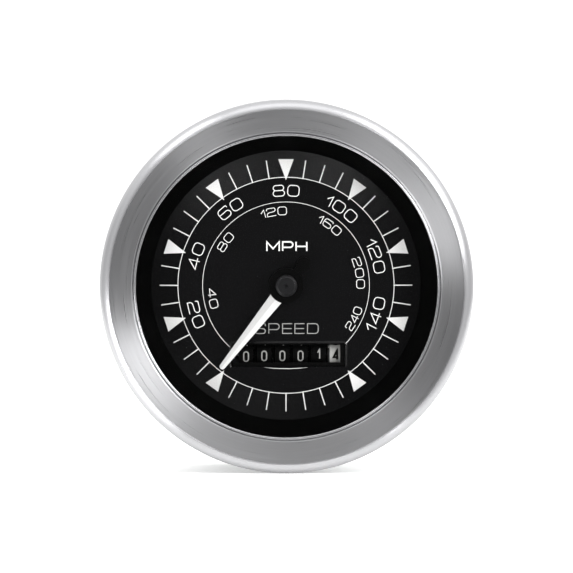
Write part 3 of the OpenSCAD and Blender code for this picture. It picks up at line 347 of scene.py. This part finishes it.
def sign(letter, width, height, pen, corner, step=9.0):
    """Pen lines of one letter or figure, its middle at the origin."""
    wide = width * SIGN_WIDTHS.get(letter, 1)
    lines = []
    for closed, *points in SIGNS[letter]:
        sized = [(p[0] * width - wide / 2, p[1] * height - height / 2, *p[2:]) for p in points]
        lines.append(pen_line(split(rounded(sized, closed, corner), closed, step), closed, pen))
    return lines


def placed(lines, place):
    """The same lines with every point put where place(point) says."""
    return [([place(p) for p in left], [place(p) for p in right], closed)
            for left, right, closed in lines]


def add_mesh(name, corners, edges, faces):
    """A new piece, made active and alone selected."""
    mesh = bpy.data.meshes.new(name)
    mesh.from_pydata(corners, edges, faces)
    piece = bpy.data.objects.new(name, mesh)
    scene.collection.objects.link(piece)
    bpy.ops.object.select_all(action="DESELECT")
    piece.select_set(True)
    bpy.context.view_layer.objects.active = piece
    return piece


def printed(name, lines, seat, ink_mm):
    """One piece of print: flat pen lines laid on a surface by seat(point, layer), then given
    the thickness of the ink."""
    corners, faces = [], []
    for number, (left, right, closed) in enumerate(lines):
        first, count, layer = len(corners), len(left), number % LAYERS
        for a, b in zip(left, right):
            corners += [seat(a, layer), seat(b, layer)]
        for i in range(count if closed else count - 1):
            a, b = first + 2 * i, first + 2 * ((i + 1) % count)
            faces.append((a, a + 1, b + 1, b))
    piece = add_mesh(name, corners, [], faces)
    ink = piece.modifiers.new("ink", "SOLIDIFY")
    ink.thickness = ink_mm * MM
    ink.offset = -1
    bpy.ops.object.modifier_apply(modifier="ink")
    return piece


# Black moulded styrene: deep black with a faint eggshell from the mould
black_styrene = grained("black_styrene", "#020202", "#040404", 0.0, 0.4, 0.5, 0.3, 0.006, 0.07)
# White moulded styrene of the tenths drum, greyed as a painted shade for the drum's place deep in
# the window
white_styrene_painted_shade = grained("white_styrene_painted_shade", "#9C9C99", "#B6B6B3", 0.0, 0.4, 0.55, 0.3, 0.006)
# White stamping foil on the black drums: flat, and greyed as a painted shade for the figures' place
# deep in the window
white_foil_painted_shade = grained("white_stamping_foil_painted_shade", "#999997", "#B0B0AE", 0.0, 0.5, 0.6, 0.2, 0.003)
# Black stamping foil: flat and dense on the white drum
black_foil = grained("black_stamping_foil", "#020202", "#060606", 0.0, 0.5, 0.6, 0.2, 0.003, 0.1)
dress(black_styrene, "drum_units", "drum_tens", "drum_hundreds", "drum_thousands",
      "drum_ten_thousands")
dress(white_styrene_painted_shade, "drum_tenths")

figure_width, figure_height, figure_corner, figure_step = 1.16, 2.36, 0.62, 0.3
figure_pen, tenths_pen, tenths_shift = 0.29, 0.52, -0.2
foil_lift, foil_thickness = 0.02, 0.04
figure_pitch = math.radians(36)
# Body, place across, figure in the window, and how far the drum stands past it in degrees
DRUMS = [("tenths", 12.57, 4, 1.5), ("units", 8.09, 1, 3.7), ("tens", 3.61, 0, -0.8),
         ("hundreds", -0.87, 0, -0.8), ("thousands", -5.35, 0, -0.8),
         ("ten_thousands", -9.83, 0, -2.5)]
for body, across, shown, past in DRUMS:
    pen, shift = (tenths_pen, tenths_shift) if body == "tenths" else (figure_pen, 0.0)
    lines = []
    for figure in range(10):
        turn = math.radians(past) + figure_pitch * ((figure - shown + 5) % 10 - 5)
        strokes = sign(str(figure), figure_width, figure_height, pen, figure_corner, figure_step)
        lines += placed(strokes, lambda p: Vector((p.x + shift, p.y + turn * DRUM_RADIUS)))

    def on_drum(point, layer):
        angle = point.y / DRUM_RADIUS
        r = DRUM_RADIUS + foil_lift + LAYER_STEP * layer
        return Vector((across + point.x, ODOMETER_DEPTH - r * math.cos(angle),
                       ODOMETER_HEIGHT + r * math.sin(angle))) * MM

    figures = printed("figures_" + body, lines, on_drum, foil_thickness)
    figures.data.materials.append(black_foil if body == "tenths" else white_foil_painted_shade)
    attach(figures, body)

# The left side plate is enamelled black, so that it doesn't show in the window
black_enamel = grained("baked_black_enamel", "#0A0A0B", "#121214", 0.0, 0.4, 0.5, 0.25, 0.004)
dress(black_enamel, "odometer_cheek")

# -------------------------------------------------------------- dial plate
# Stamped aluminium sheet with a satin black enamel, its scale ring sloping
# back to the edge. Lines, marks and figures are screen-printed in white.
DIAL_FACE, SCALE_INNER, SCALE_OUTER, SCALE_DROP = 3.5, 26.6, 33.45, 0.8
# Satin black enamel: deep black, with a soft gloss that picks up the cards
dial_enamel = grained("satin_black_dial_enamel", "#050506", "#09090A", 0.0, 0.18, 0.23, 0.35,
                      0.001, 0.36)
dress(dial_enamel, "dial_plate")

# Screen-printed white: even, opaque, faintly raised. It stands proud enough to
# cover the ends of the dial's feet, which come through the sloping ring.
print_white = grained("screen_printed_white", "#EFEFED", "#FBFBFA", 0.0, 0.45, 0.6, 0.2, 0.002)
print_lift, print_thickness = 0.05, 0.065


def on_dial(point, layer):
    fall = max(point.length - SCALE_INNER, 0) * SCALE_DROP / (SCALE_OUTER - SCALE_INNER)
    return Vector((point.x, DIAL_FACE + fall - print_lift - LAYER_STEP * layer, point.y)) * MM


def polar(radius, angle):
    return Vector((math.cos(angle), math.sin(angle))) * radius


def around(lines, radius, clock, inward=False):
    """Lines moved out to a radius and turned to an angle from the right, tops outward or inward."""
    centre = polar(radius, math.radians(clock))
    up = polar(-1 if inward else 1, math.radians(clock))
    right = Vector((up.y, -up.x))
    return placed(lines, lambda p: centre + right * p.x + up * p.y)


def figures_on_arc(text, clock, radius, width, height, pen, corner, gap, inward=False):
    """A number set letter by letter round the dial, its middle at that angle."""
    widths = [width * SIGN_WIDTHS.get(c, 1) + pen for c in text]
    total = sum(widths) + gap * (len(text) - 1)
    lines, along = [], -total / 2
    for letter, wide in zip(text, widths):
        middle = (along + wide / 2) / radius
        turn = clock + math.degrees(middle) * (1 if inward else -1)
        lines += around(sign(letter, width, height, pen, corner, step=0.5), radius, turn, inward)
        along += wide + gap
    return lines


def onto_dial(name, lines):
    """One piece of print on the dial."""
    piece = printed(name, lines, on_dial, print_thickness)
    piece.data.materials.append(print_white)
    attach(piece, "case")
    return piece


outer_circle, outer_pen, outer_corners = 26.67, 0.17, 240
circle = [polar(outer_circle, k * 2 * math.pi / outer_corners) for k in range(outer_corners)]
onto_dial("dial_outer_circle", [pen_line(circle, True, outer_pen)])

# The inner circle stops at the odometer window. Below the window its stretch
# lies on the rolled lip, so it looks flatter and runs out thin at both ends.
inner_circle, inner_pen, inner_corners = 20.58, 0.12, 960
lip_arc_half, lip_arc_curve, lip_arc_fade = 5.7, 0.0112, 2.5
window_left, window_right, window_bottom, window_top = -13.48, 14.62, -20.13, -14.33
window_margin = 0.12
arcs, arc = [], []
for k in range(inner_corners + 1):
    p = polar(inner_circle, math.pi / 2 + k * 2 * math.pi / inner_corners)
    below = abs(p.x) < lip_arc_half and p.y < 0
    if below:
        p.y = lip_arc_curve * p.x ** 2 - inner_circle
    clear = (below or p.x < window_left - window_margin or p.x > window_right + window_margin
             or p.y > window_top + window_margin)
    if clear:
        arc.append(p)
    if (not clear or k == inner_corners) and len(arc) > 1:
        left, right, _ = pen_line(arc, False, inner_pen)
        if abs(arc[0].x) < lip_arc_half and arc[0].y < 0:
            for a, b in zip(left, right):
                thinner = (a - b) / 2 * max(0, 1 - (lip_arc_half - abs(a.x)) / lip_arc_fade)
                a -= thinner
                b += thinner
        arcs.append((left, right, False))
    if not clear:
        arc = []
onto_dial("dial_inner_circle", arcs)

# Forty divisions of nine degrees: nine of them are wedges, from 0 to 160
divisions, tick_start, tick_end, tick_pen = 40, SCALE_INNER - 0.05, 31.15, 0.27
wedge_angles = [234, 198, 162, 126, 90, 54, 18, 342, 306]
tick = pen_line([Vector((0, tick_start)), Vector((0, tick_end))], False, tick_pen)
ticks = []
for clock in range(0, 360, 360 // divisions):
    if clock not in wedge_angles:
        ticks += around([tick], 0, clock)
onto_dial("dial_ticks", ticks)
# A wedge is cut across in slices, so that it bends where the ring begins to slope
wedge_tip, wedge_base, wedge_half, blunt_half = 26.02, 31.12, 1.88, 0.02
heights = [wedge_tip, SCALE_INNER, 28.1, 29.6, wedge_base]
halves = [wedge_half * (h - wedge_tip) / (wedge_base - wedge_tip) + blunt_half for h in heights]
wedge = ([Vector((-w, h)) for h, w in zip(heights, halves)],
         [Vector((w, h)) for h, w in zip(heights, halves)], False)
wedges = []
for clock in wedge_angles:
    wedges += around([wedge], 0, clock)
onto_dial("dial_wedges", wedges)

# The lowest number at each side reads with its top inward
mph_radius, mph_width, mph_height, mph_pen, mph_corner, mph_gap = 23.4, 2.8, 2.65, 0.21, 0.85, 0.64
mph_lines = []
for number, clock in zip(range(20, 160, 20), wedge_angles[1:8]):
    mph_lines += figures_on_arc(str(number), clock, mph_radius, mph_width, mph_height, mph_pen,
                                mph_corner, mph_gap, number in (20, 140))
onto_dial("dial_mph_figures", mph_lines)
kmh_height, kmh_pen, kmh_corner = 1.95, 0.165, 0.6
# Number, clock, radius, width of a figure and gap; the last is set closer
KMH_NUMBERS = [(40, 190, 18.4, 2.13, 0.43), (80, 144.5, 18.4, 2.13, 0.43),
               (120, 99.5, 18.4, 2.13, 0.43), (160, 54, 18.4, 2.13, 0.43),
               (200, 9.5, 18.4, 2.13, 0.43), (240, -26, 18.75, 1.7, 0.21)]
kmh_lines = []
for number, clock, radius, width, gap in KMH_NUMBERS:
    kmh_lines += figures_on_arc(str(number), clock, radius, width, kmh_height, kmh_pen,
                                kmh_corner, gap, number in (40, 240))
onto_dial("dial_kmh_figures", kmh_lines)


def label(text, places, height, pen, corner, middle_z):
    """A level word, its letters between the given left and right edges."""
    lines = []
    for letter, (x0, x1) in zip(text, places):
        middle = Vector(((x0 + x1) / 2, middle_z))
        lines += placed(sign(letter, x1 - x0 - pen, height - pen, pen, corner),
                        lambda p: p + middle)
    return lines


speed_places = [(-7.5, -5.0), (-4.35, -1.58), (-0.96, 1.62), (2.09, 4.66), (5.19, 8.06)]
speed_label = onto_dial("dial_label_speed", label("SPEED", speed_places, 2.62, 0.21, 0.75, -10.68))
# Screen-printed grey: as even as the white, but held back
speed_label.data.materials[0] = grained("screen_printed_grey", "#949492", "#A6A6A4", 0.0, 0.45,
                                        0.6, 0.2, 0.002)
mph_places = [(-4.9, -1.5), (-1.0, 1.85), (2.3, 5.3)]
onto_dial("dial_label_mph", label("MPH", mph_places, 2.6, 0.36, 0.75, 9.6))

# The odometer window's edge is pressed up along the top and down both sides
# into a slope that catches the light; the bottom edge stays flat.
edge_width, edge_lift, edge_corner, sheet_thickness = 0.5, 0.21, 0.9, 0.2
middle_x, middle_z = (window_left + window_right) / 2, (window_bottom + window_top) / 2
window_width, window_height = window_right - window_left, window_top - window_bottom


def window_plate(name, wider, depth, rim):
    """A flat sheet over the window, that much wider all round, its face at that depth, cut
    along a rim of that width and left in edit mode with its middle selected. A sheet that
    reaches past the window has round corners."""
    bpy.ops.object.select_all(action="DESELECT")
    bpy.ops.mesh.primitive_plane_add(size=1, rotation=(math.radians(90), 0, 0))
    plate = bpy.context.object
    plate.name = name
    plate.scale = ((window_width + 2 * wider) * MM, (window_height + 2 * wider) * MM, 1)
    plate.location = (middle_x * MM, depth * MM, middle_z * MM)
    bpy.ops.object.transform_apply(location=True, rotation=True, scale=True)
    bpy.ops.object.mode_set(mode="EDIT")
    bpy.ops.mesh.select_all(action="SELECT")
    if wider > 0:
        bpy.ops.mesh.bevel(affect="VERTICES", offset=edge_corner * MM, segments=6)
        bpy.ops.mesh.select_all(action="SELECT")
    bpy.ops.mesh.inset(thickness=rim * MM, depth=0)
    return plate


def cut_away(plate, chosen):
    """Faces of the sheet whose middle is chosen by across and up, in mm, are cut away."""
    bpy.ops.mesh.select_mode(type="FACE")
    bpy.ops.mesh.select_all(action="DESELECT")
    bpy.ops.object.mode_set(mode="OBJECT")
    for face in plate.data.polygons:
        face.select = chosen(face.center.x / MM, face.center.z / MM)
    bpy.ops.object.mode_set(mode="EDIT")
    bpy.ops.mesh.delete(type="FACE")
    bpy.ops.mesh.select_mode(type="VERT")
    bpy.ops.object.mode_set(mode="OBJECT")


def thicken(plate, edge):
    """The sheet gets its thickness backward and its edges are rounded."""
    sheet = plate.modifiers.new("sheet", "SOLIDIFY")
    sheet.thickness = sheet_thickness * MM
    sheet.offset = -1
    round_edge = plate.modifiers.new("round", "BEVEL")
    round_edge.width = edge * MM
    round_edge.segments = 4
    bpy.ops.object.modifier_apply(modifier="sheet")
    bpy.ops.object.modifier_apply(modifier="round")
    bpy.ops.object.shade_smooth_by_angle(angle=math.radians(50))


window_edge = window_plate("dial_window_edge", edge_width, DIAL_FACE, edge_width)
bpy.ops.transform.translate(value=(0, -edge_lift * MM, 0))
cut_away(window_edge, lambda x, z: window_left < x < window_right and z < window_top - 0.01)
thicken(window_edge, 0.03)
window_edge.data.materials.append(dial_enamel)
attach(window_edge, "case")

# The odometer's own frame reaches into the window as a black border that hides the tops and bottoms
# of the neighbouring figures. Its dead black is a painted shade for the dark inside the window.
mask_left, mask_right, mask_bottom, mask_top = window_left + 0.3, 13.36, -19.05, -14.72
mask_gap, mask_depth, mask_rim = 0.01, 0.35, 0.2
# Dead black enamel, far darker than lit enamel: a painted shade for the dark inside the window
painted_shade_black = grained("painted_shade_black_enamel", "#010101", "#030303", 0.0, 0.6, 0.75, 0.3, 0.004, 0.06)
window_mask = window_plate("odometer_window_mask", -mask_gap, DIAL_FACE + mask_depth, mask_rim)
cut_away(window_mask, lambda x, z: (window_left + 1 < x < window_right - 1
                                    and window_bottom + 1 < z < window_top - 1))
for corner in window_mask.data.vertices:
    if abs(corner.co.x / MM - middle_x) < window_width / 2 - mask_rim / 2:
        corner.co.x = (mask_left if corner.co.x / MM < middle_x else mask_right) * MM
        corner.co.z = (mask_bottom if corner.co.z / MM < middle_z else mask_top) * MM
thicken(window_mask, 0.05)
window_mask.data.materials.append(painted_shade_black)
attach(window_mask, "case")

# --------------------------------------------------------------- case, lamps
# Deep-drawn steel can, zinc-plated, with two welded studs and two push-in
# lamp holders of black phenolic with clear bulbs.

# Black phenolic: nearly black, with the mould's half gloss
phenolic = grained("black_phenolic", "#131314", "#1E1E20", 0.0, 0.35, 0.5, 0.4, 0.01)
dress(phenolic, "lamp_holders")
# Blown bulb glass: clear and bright
bulb_glass = grained("clear_bulb_glass", "#E9E9E4", "#F4F4F0", 0.0, 0.05, 0.1, 2.0, 0.001)
finish_inputs(bulb_glass)["Alpha"].default_value = 0.3
dress(bulb_glass, "lamp_bulbs")
WELD_GAP = 0.0005 * MM


def finish_shell(smooth_angle):
    """The active piece's seams are welded, its faces turned outward and its curves smoothed."""
    bpy.ops.mesh.select_all(action="SELECT")
    bpy.ops.mesh.remove_doubles(threshold=WELD_GAP)
    bpy.ops.mesh.normals_make_consistent(inside=False)
    bpy.ops.object.mode_set(mode="OBJECT")
    bpy.ops.object.shade_smooth_by_angle(angle=math.radians(smooth_angle))


# The studs are welded on by their round feet and carry a rolled thread with a
# chamfered end. Each column of corners climbs the thread by its share of a turn;
# corners past either end are held there, and welded in the end.
stud_reach, stud_columns, thread_rows = 33, 32, 100
stud_foot = [(4.2, 48.5), (4.2, 49.3), (4.0, 49.5), (2.4, 49.5), (2.4, 50.3), (1.98, 50.7)]
thread_root, thread_start = stud_foot[-1]
thread_crest, thread_pitch, stud_end, end_radius = 2.4, 0.8, 68.5, 1.9
# Radius and share of the pitch where the crest begins and ends, then the root
thread_form = [(thread_crest, 0.0), (thread_crest, 0.15), (thread_root, 0.5), (thread_root, 0.65)]
foot_rows, form_rows = len(stud_foot), len(thread_form)
rows = foot_rows + thread_rows
corners, faces = [], []
for x in (-stud_reach, stud_reach):
    first = len(corners)
    for column in range(stud_columns):
        turn = column / stud_columns
        line = list(stud_foot)
        for row in range(thread_rows):
            r, place = thread_form[row % form_rows]
            y = thread_start + thread_pitch * (row // form_rows + place + turn - 1)
            y = min(max(y, thread_start), stud_end)
            r = thread_root if y == thread_start else min(r, end_radius + stud_end - y)
            line.append((r, y))
        a = -2 * math.pi * turn
        corners += [Vector((x + r * math.cos(a), y, r * math.sin(a))) * MM for r, y in line]
    for column in range(stud_columns):
        here, there = first + column * rows, first + (column + 1) % stud_columns * rows
        climb = form_rows if column + 1 == stud_columns else 0
        for row in range(foot_rows - 1):
            faces.append((here + row, here + row + 1, there + row + 1, there + row))
        for row in range(foot_rows, rows - 1 - climb):
            faces.append((here + row, here + row + 1, there + row + 1 + climb, there + row + climb))
    faces.append([first + column * rows for column in range(stud_columns)])
    faces.append([first + column * rows + rows - 1 for column in range(stud_columns)])
studs = add_mesh("threaded_studs", corners, [], faces)
bpy.ops.object.mode_set(mode="EDIT")
finish_shell(30)
studs.data.materials.append(screw_steel)
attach(studs, "case")
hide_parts("mounting_studs")

# ------------------------------------------------------------------ pointer
# Black moulded hub and tail, a white-painted aluminium blade folded along its
# middle, and a dark moulded cap with a small dimple.

# White paint: smooth, with a soft gloss. The upper facet is painted a shade greyer and the lower
# one a little lighter: a painted shade and a painted light across the fold, in place of the light
# falling on it. The tone changes over the width of the fold.
pointer_paint = grained("white_pointer_paint", "#D2D2D1", "#DADAD9", 0.0, 0.3, 0.36, 0.3, 0.001)
facet_clock, fold_half, upper_painted_facet_shade, lower_painted_facet_shade = math.radians(321.7), 0.06 * MM, 0.8, 1.04
lower_side = (math.cos(facet_clock), 0, math.sin(facet_clock))
tree, finish = pointer_paint.node_tree, finish_inputs(pointer_paint)
spot = put(tree, "ShaderNodeTexCoord").outputs["Object"]
from_fold = put(tree, "ShaderNodeVectorMath", {0: spot, 1: lower_side},
                operation="DOT_PRODUCT").outputs[1]
# Painted shade and light: the upper facet's tone is darkened, the lower one's raised
painted_facet_shade = put(tree, "ShaderNodeMapRange", {"Value": from_fold, 1: -fold_half, 2: fold_half,
                                        3: upper_painted_facet_shade, 4: lower_painted_facet_shade}).outputs[0]
paint = finish["Base Color"].links[0].from_socket
shade = put(tree, "ShaderNodeVectorMath", {0: paint, "Scale": painted_facet_shade}, operation="SCALE").outputs[0]
tree.links.new(shade, finish["Base Color"])
dress(pointer_paint, "pointer_blade")
dress(black_styrene, "pointer_body")
# Black moulding of the cap: a little greyer than the hub, with a soft sheen
cap_black = grained("black_moulded_cap", "#08080A", "#0F0F11", 0.0, 0.45, 0.55, 0.3, 0.005, 0.24)
dress(cap_black, "pointer_cap")

# -------------------------------------------------- reflector, glass, bezel
# A matt black ring hides the edge of the dial. The flat glass lies on it in
# a rubber ring, and the spun bezel of satin-brushed chromed steel is rolled
# over the flange of the case and holds the whole stack.

# Matt black paint of the ring: almost no gloss
ring_black = grained("matt_black_ring", "#010101", "#020202", 0.0, 0.5, 0.6, 0.3, 0.004, 0.02)
dress(ring_black, "reflector_ring")
# Nitrile rubber: dull and slightly sooty
rubber = grained("nitrile_rubber", "#0C0C0C", "#171717", 0.0, 0.7, 0.85, 0.3, 0.01)
dress(rubber, "lens_gasket")
# Clear flat glass: hardly seen from the front, a soft sheen from the side
window_glass = grained("clear_window_glass", "#060707", "#0A0B0B", 0.0, 0.02, 0.05, 8.0, 0.0001)
finish_inputs(window_glass)["Alpha"].default_value = 0.04
finish_inputs(window_glass)["IOR"].default_value = 1.52
dress(window_glass, "lens")


def turned_corner(r, y, radius, start, end, count, depth_radius=None):
    """Points on a round part of a profile, its centre at r and y, angles in degrees. With a
    second radius along the depth it is part of an ellipse."""
    angles = [math.radians(start + (end - start) * k / count) for k in range(count + 1)]
    return [(r + radius * math.cos(a), y + (depth_radius or radius) * math.sin(a)) for a in angles]


# Radius and depth: the rolled lip round the glass, the groove beside it, the
# brushed band, the step to the rim, the quarter round of the rim, the rear
# corner, and back along the inside round the flange and the glass's edge.
bezel_profile = (
    turned_corner(37.45, -5.8, 0.39, 90, 335, 20, 0.6)
    + [(37.86, -5.94), (37.92, -5.92), (37.98, -5.94), (38.04, -6.0)]
    + turned_corner(38.34, -6.03, 0.27, 180, 262, 6)
    + [(38.7, -6.37), (38.8, -6.39), (43.4, -7.28), (43.5, -7.3)]
    + [(43.6, -7.31), (43.66, -7.38), (43.7, -7.6), (43.74, -8.0)]
    + turned_corner(43.86, -8.06, 0.1, 200, 285, 5)
    + turned_corner(42.81, -5.15, 3.19, 290, 360, 36)
    + turned_corner(45.4, -0.6, 0.6, 0, 90, 8)
    + [(42.6, 0), (42.6, -0.9), (45.1, -0.9), (45.1, -5.75)]
    + [(43.7, -6.4375), (38.9, -5.45), (38.6, -5.2)])
profile_corners = [(r * MM, y * MM, 0) for r, y in bezel_profile]
profile_edges = [(i, (i + 1) % len(bezel_profile)) for i in range(len(bezel_profile))]
bezel = add_mesh("bezel_shell", profile_corners, profile_edges, [])
bpy.ops.object.mode_set(mode="EDIT")
bpy.ops.mesh.select_all(action="SELECT")
bpy.ops.mesh.spin(steps=288, angle=2 * math.pi, center=(0, 0, 0), axis=(0, 1, 0))
finish_shell(35)

# Chromed steel brushed round and round on the lathe: each scratch is a groove
# about the axis, so lights are drawn out to rays like a bow tie. The strokes
# are drawn 0.3 mm wide, coarser than real ones, so that they show. They follow
# radius and depth quickly and the way round slowly.
stroke_width, stroke_turns, stroke_detail = 0.3 * MM, 2.0, 3.0
stroke_relief, stroke_depth = 0.015, 0.004 * MM
stroke_smooth, stroke_rough = 0.27, 0.33
brushed = bpy.data.materials.new("brushed_satin_chrome")
brushed.use_nodes = True
tree, finish = brushed.node_tree, finish_inputs(brushed)
finish["Metallic"].default_value = 1.0
finish["Anisotropic"].default_value = 0.8
finish["Anisotropic Rotation"].default_value = 0.25
spot = put(tree, "ShaderNodeTexCoord").outputs["Object"]
flat = put(tree, "ShaderNodeVectorMath", {0: spot, 1: (1, 0, 1)}, operation="MULTIPLY").outputs[0]
radius = put(tree, "ShaderNodeVectorMath", {0: flat}, operation="LENGTH").outputs[1]
heading = put(tree, "ShaderNodeVectorMath", {0: flat}, operation="NORMALIZE").outputs[0]
slow = put(tree, "ShaderNodeVectorMath", {0: heading, "Scale": stroke_turns},
           operation="SCALE").outputs[0]
depth = put(tree, "ShaderNodeSeparateXYZ", {0: spot}).outputs["Y"]
across = put(tree, "ShaderNodeMath", {0: radius, 1: depth}, operation="SUBTRACT").outputs[0]
fast = put(tree, "ShaderNodeMath", {0: across, 1: 1 / stroke_width},
           operation="MULTIPLY").outputs[0]
quick = put(tree, "ShaderNodeCombineXYZ", {1: fast}).outputs[0]
stroke_place = put(tree, "ShaderNodeVectorMath", {0: slow, 1: quick}, operation="ADD").outputs[0]
strokes = put(tree, "ShaderNodeTexNoise", {"Vector": stroke_place, "Scale": 1.0,
                                           "Detail": stroke_detail}).outputs[0]
tone = put(tree, "ShaderNodeMix", {0: strokes, 6: linear("#ABABAD"), 7: linear("#B8B8BA")},
           data_type="RGBA")
polish = put(tree, "ShaderNodeMapRange", {"Value": strokes, 1: NOISE_LOW, 2: NOISE_HIGH,
                                          3: stroke_smooth, 4: stroke_rough})
relief = put(tree, "ShaderNodeBump", {"Height": strokes, "Strength": stroke_relief,
                                      "Distance": stroke_depth})
grooves = put(tree, "ShaderNodeTangent", direction_type="RADIAL", axis="Y")
tree.links.new(tone.outputs[2], finish["Base Color"])
tree.links.new(polish.outputs[0], finish["Roughness"])
tree.links.new(relief.outputs[0], finish["Normal"])
tree.links.new(grooves.outputs[0], finish["Tangent"])
bezel.data.materials.append(brushed)
# Its rolled inner lip is burnished smooth: a bright line beside a dark one
lip_outer, lip_back = 38.0 * MM, -5.0 * MM
burnished = grained("burnished_chrome_lip", "#A4A4A6", "#B2B2B4", 1.0, 0.22, 0.27, 0.5, 0.0002)
bezel.data.materials.append(burnished)
for face in bezel.data.polygons:
    middle = face.center
    if math.hypot(middle.x, middle.z) < lip_outer and middle.y < lip_back:
        face.material_index = 1
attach(bezel, "case")
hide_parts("bezel")

# ---------------------------------------------------------------- the update
bpy.context.view_layer.update()
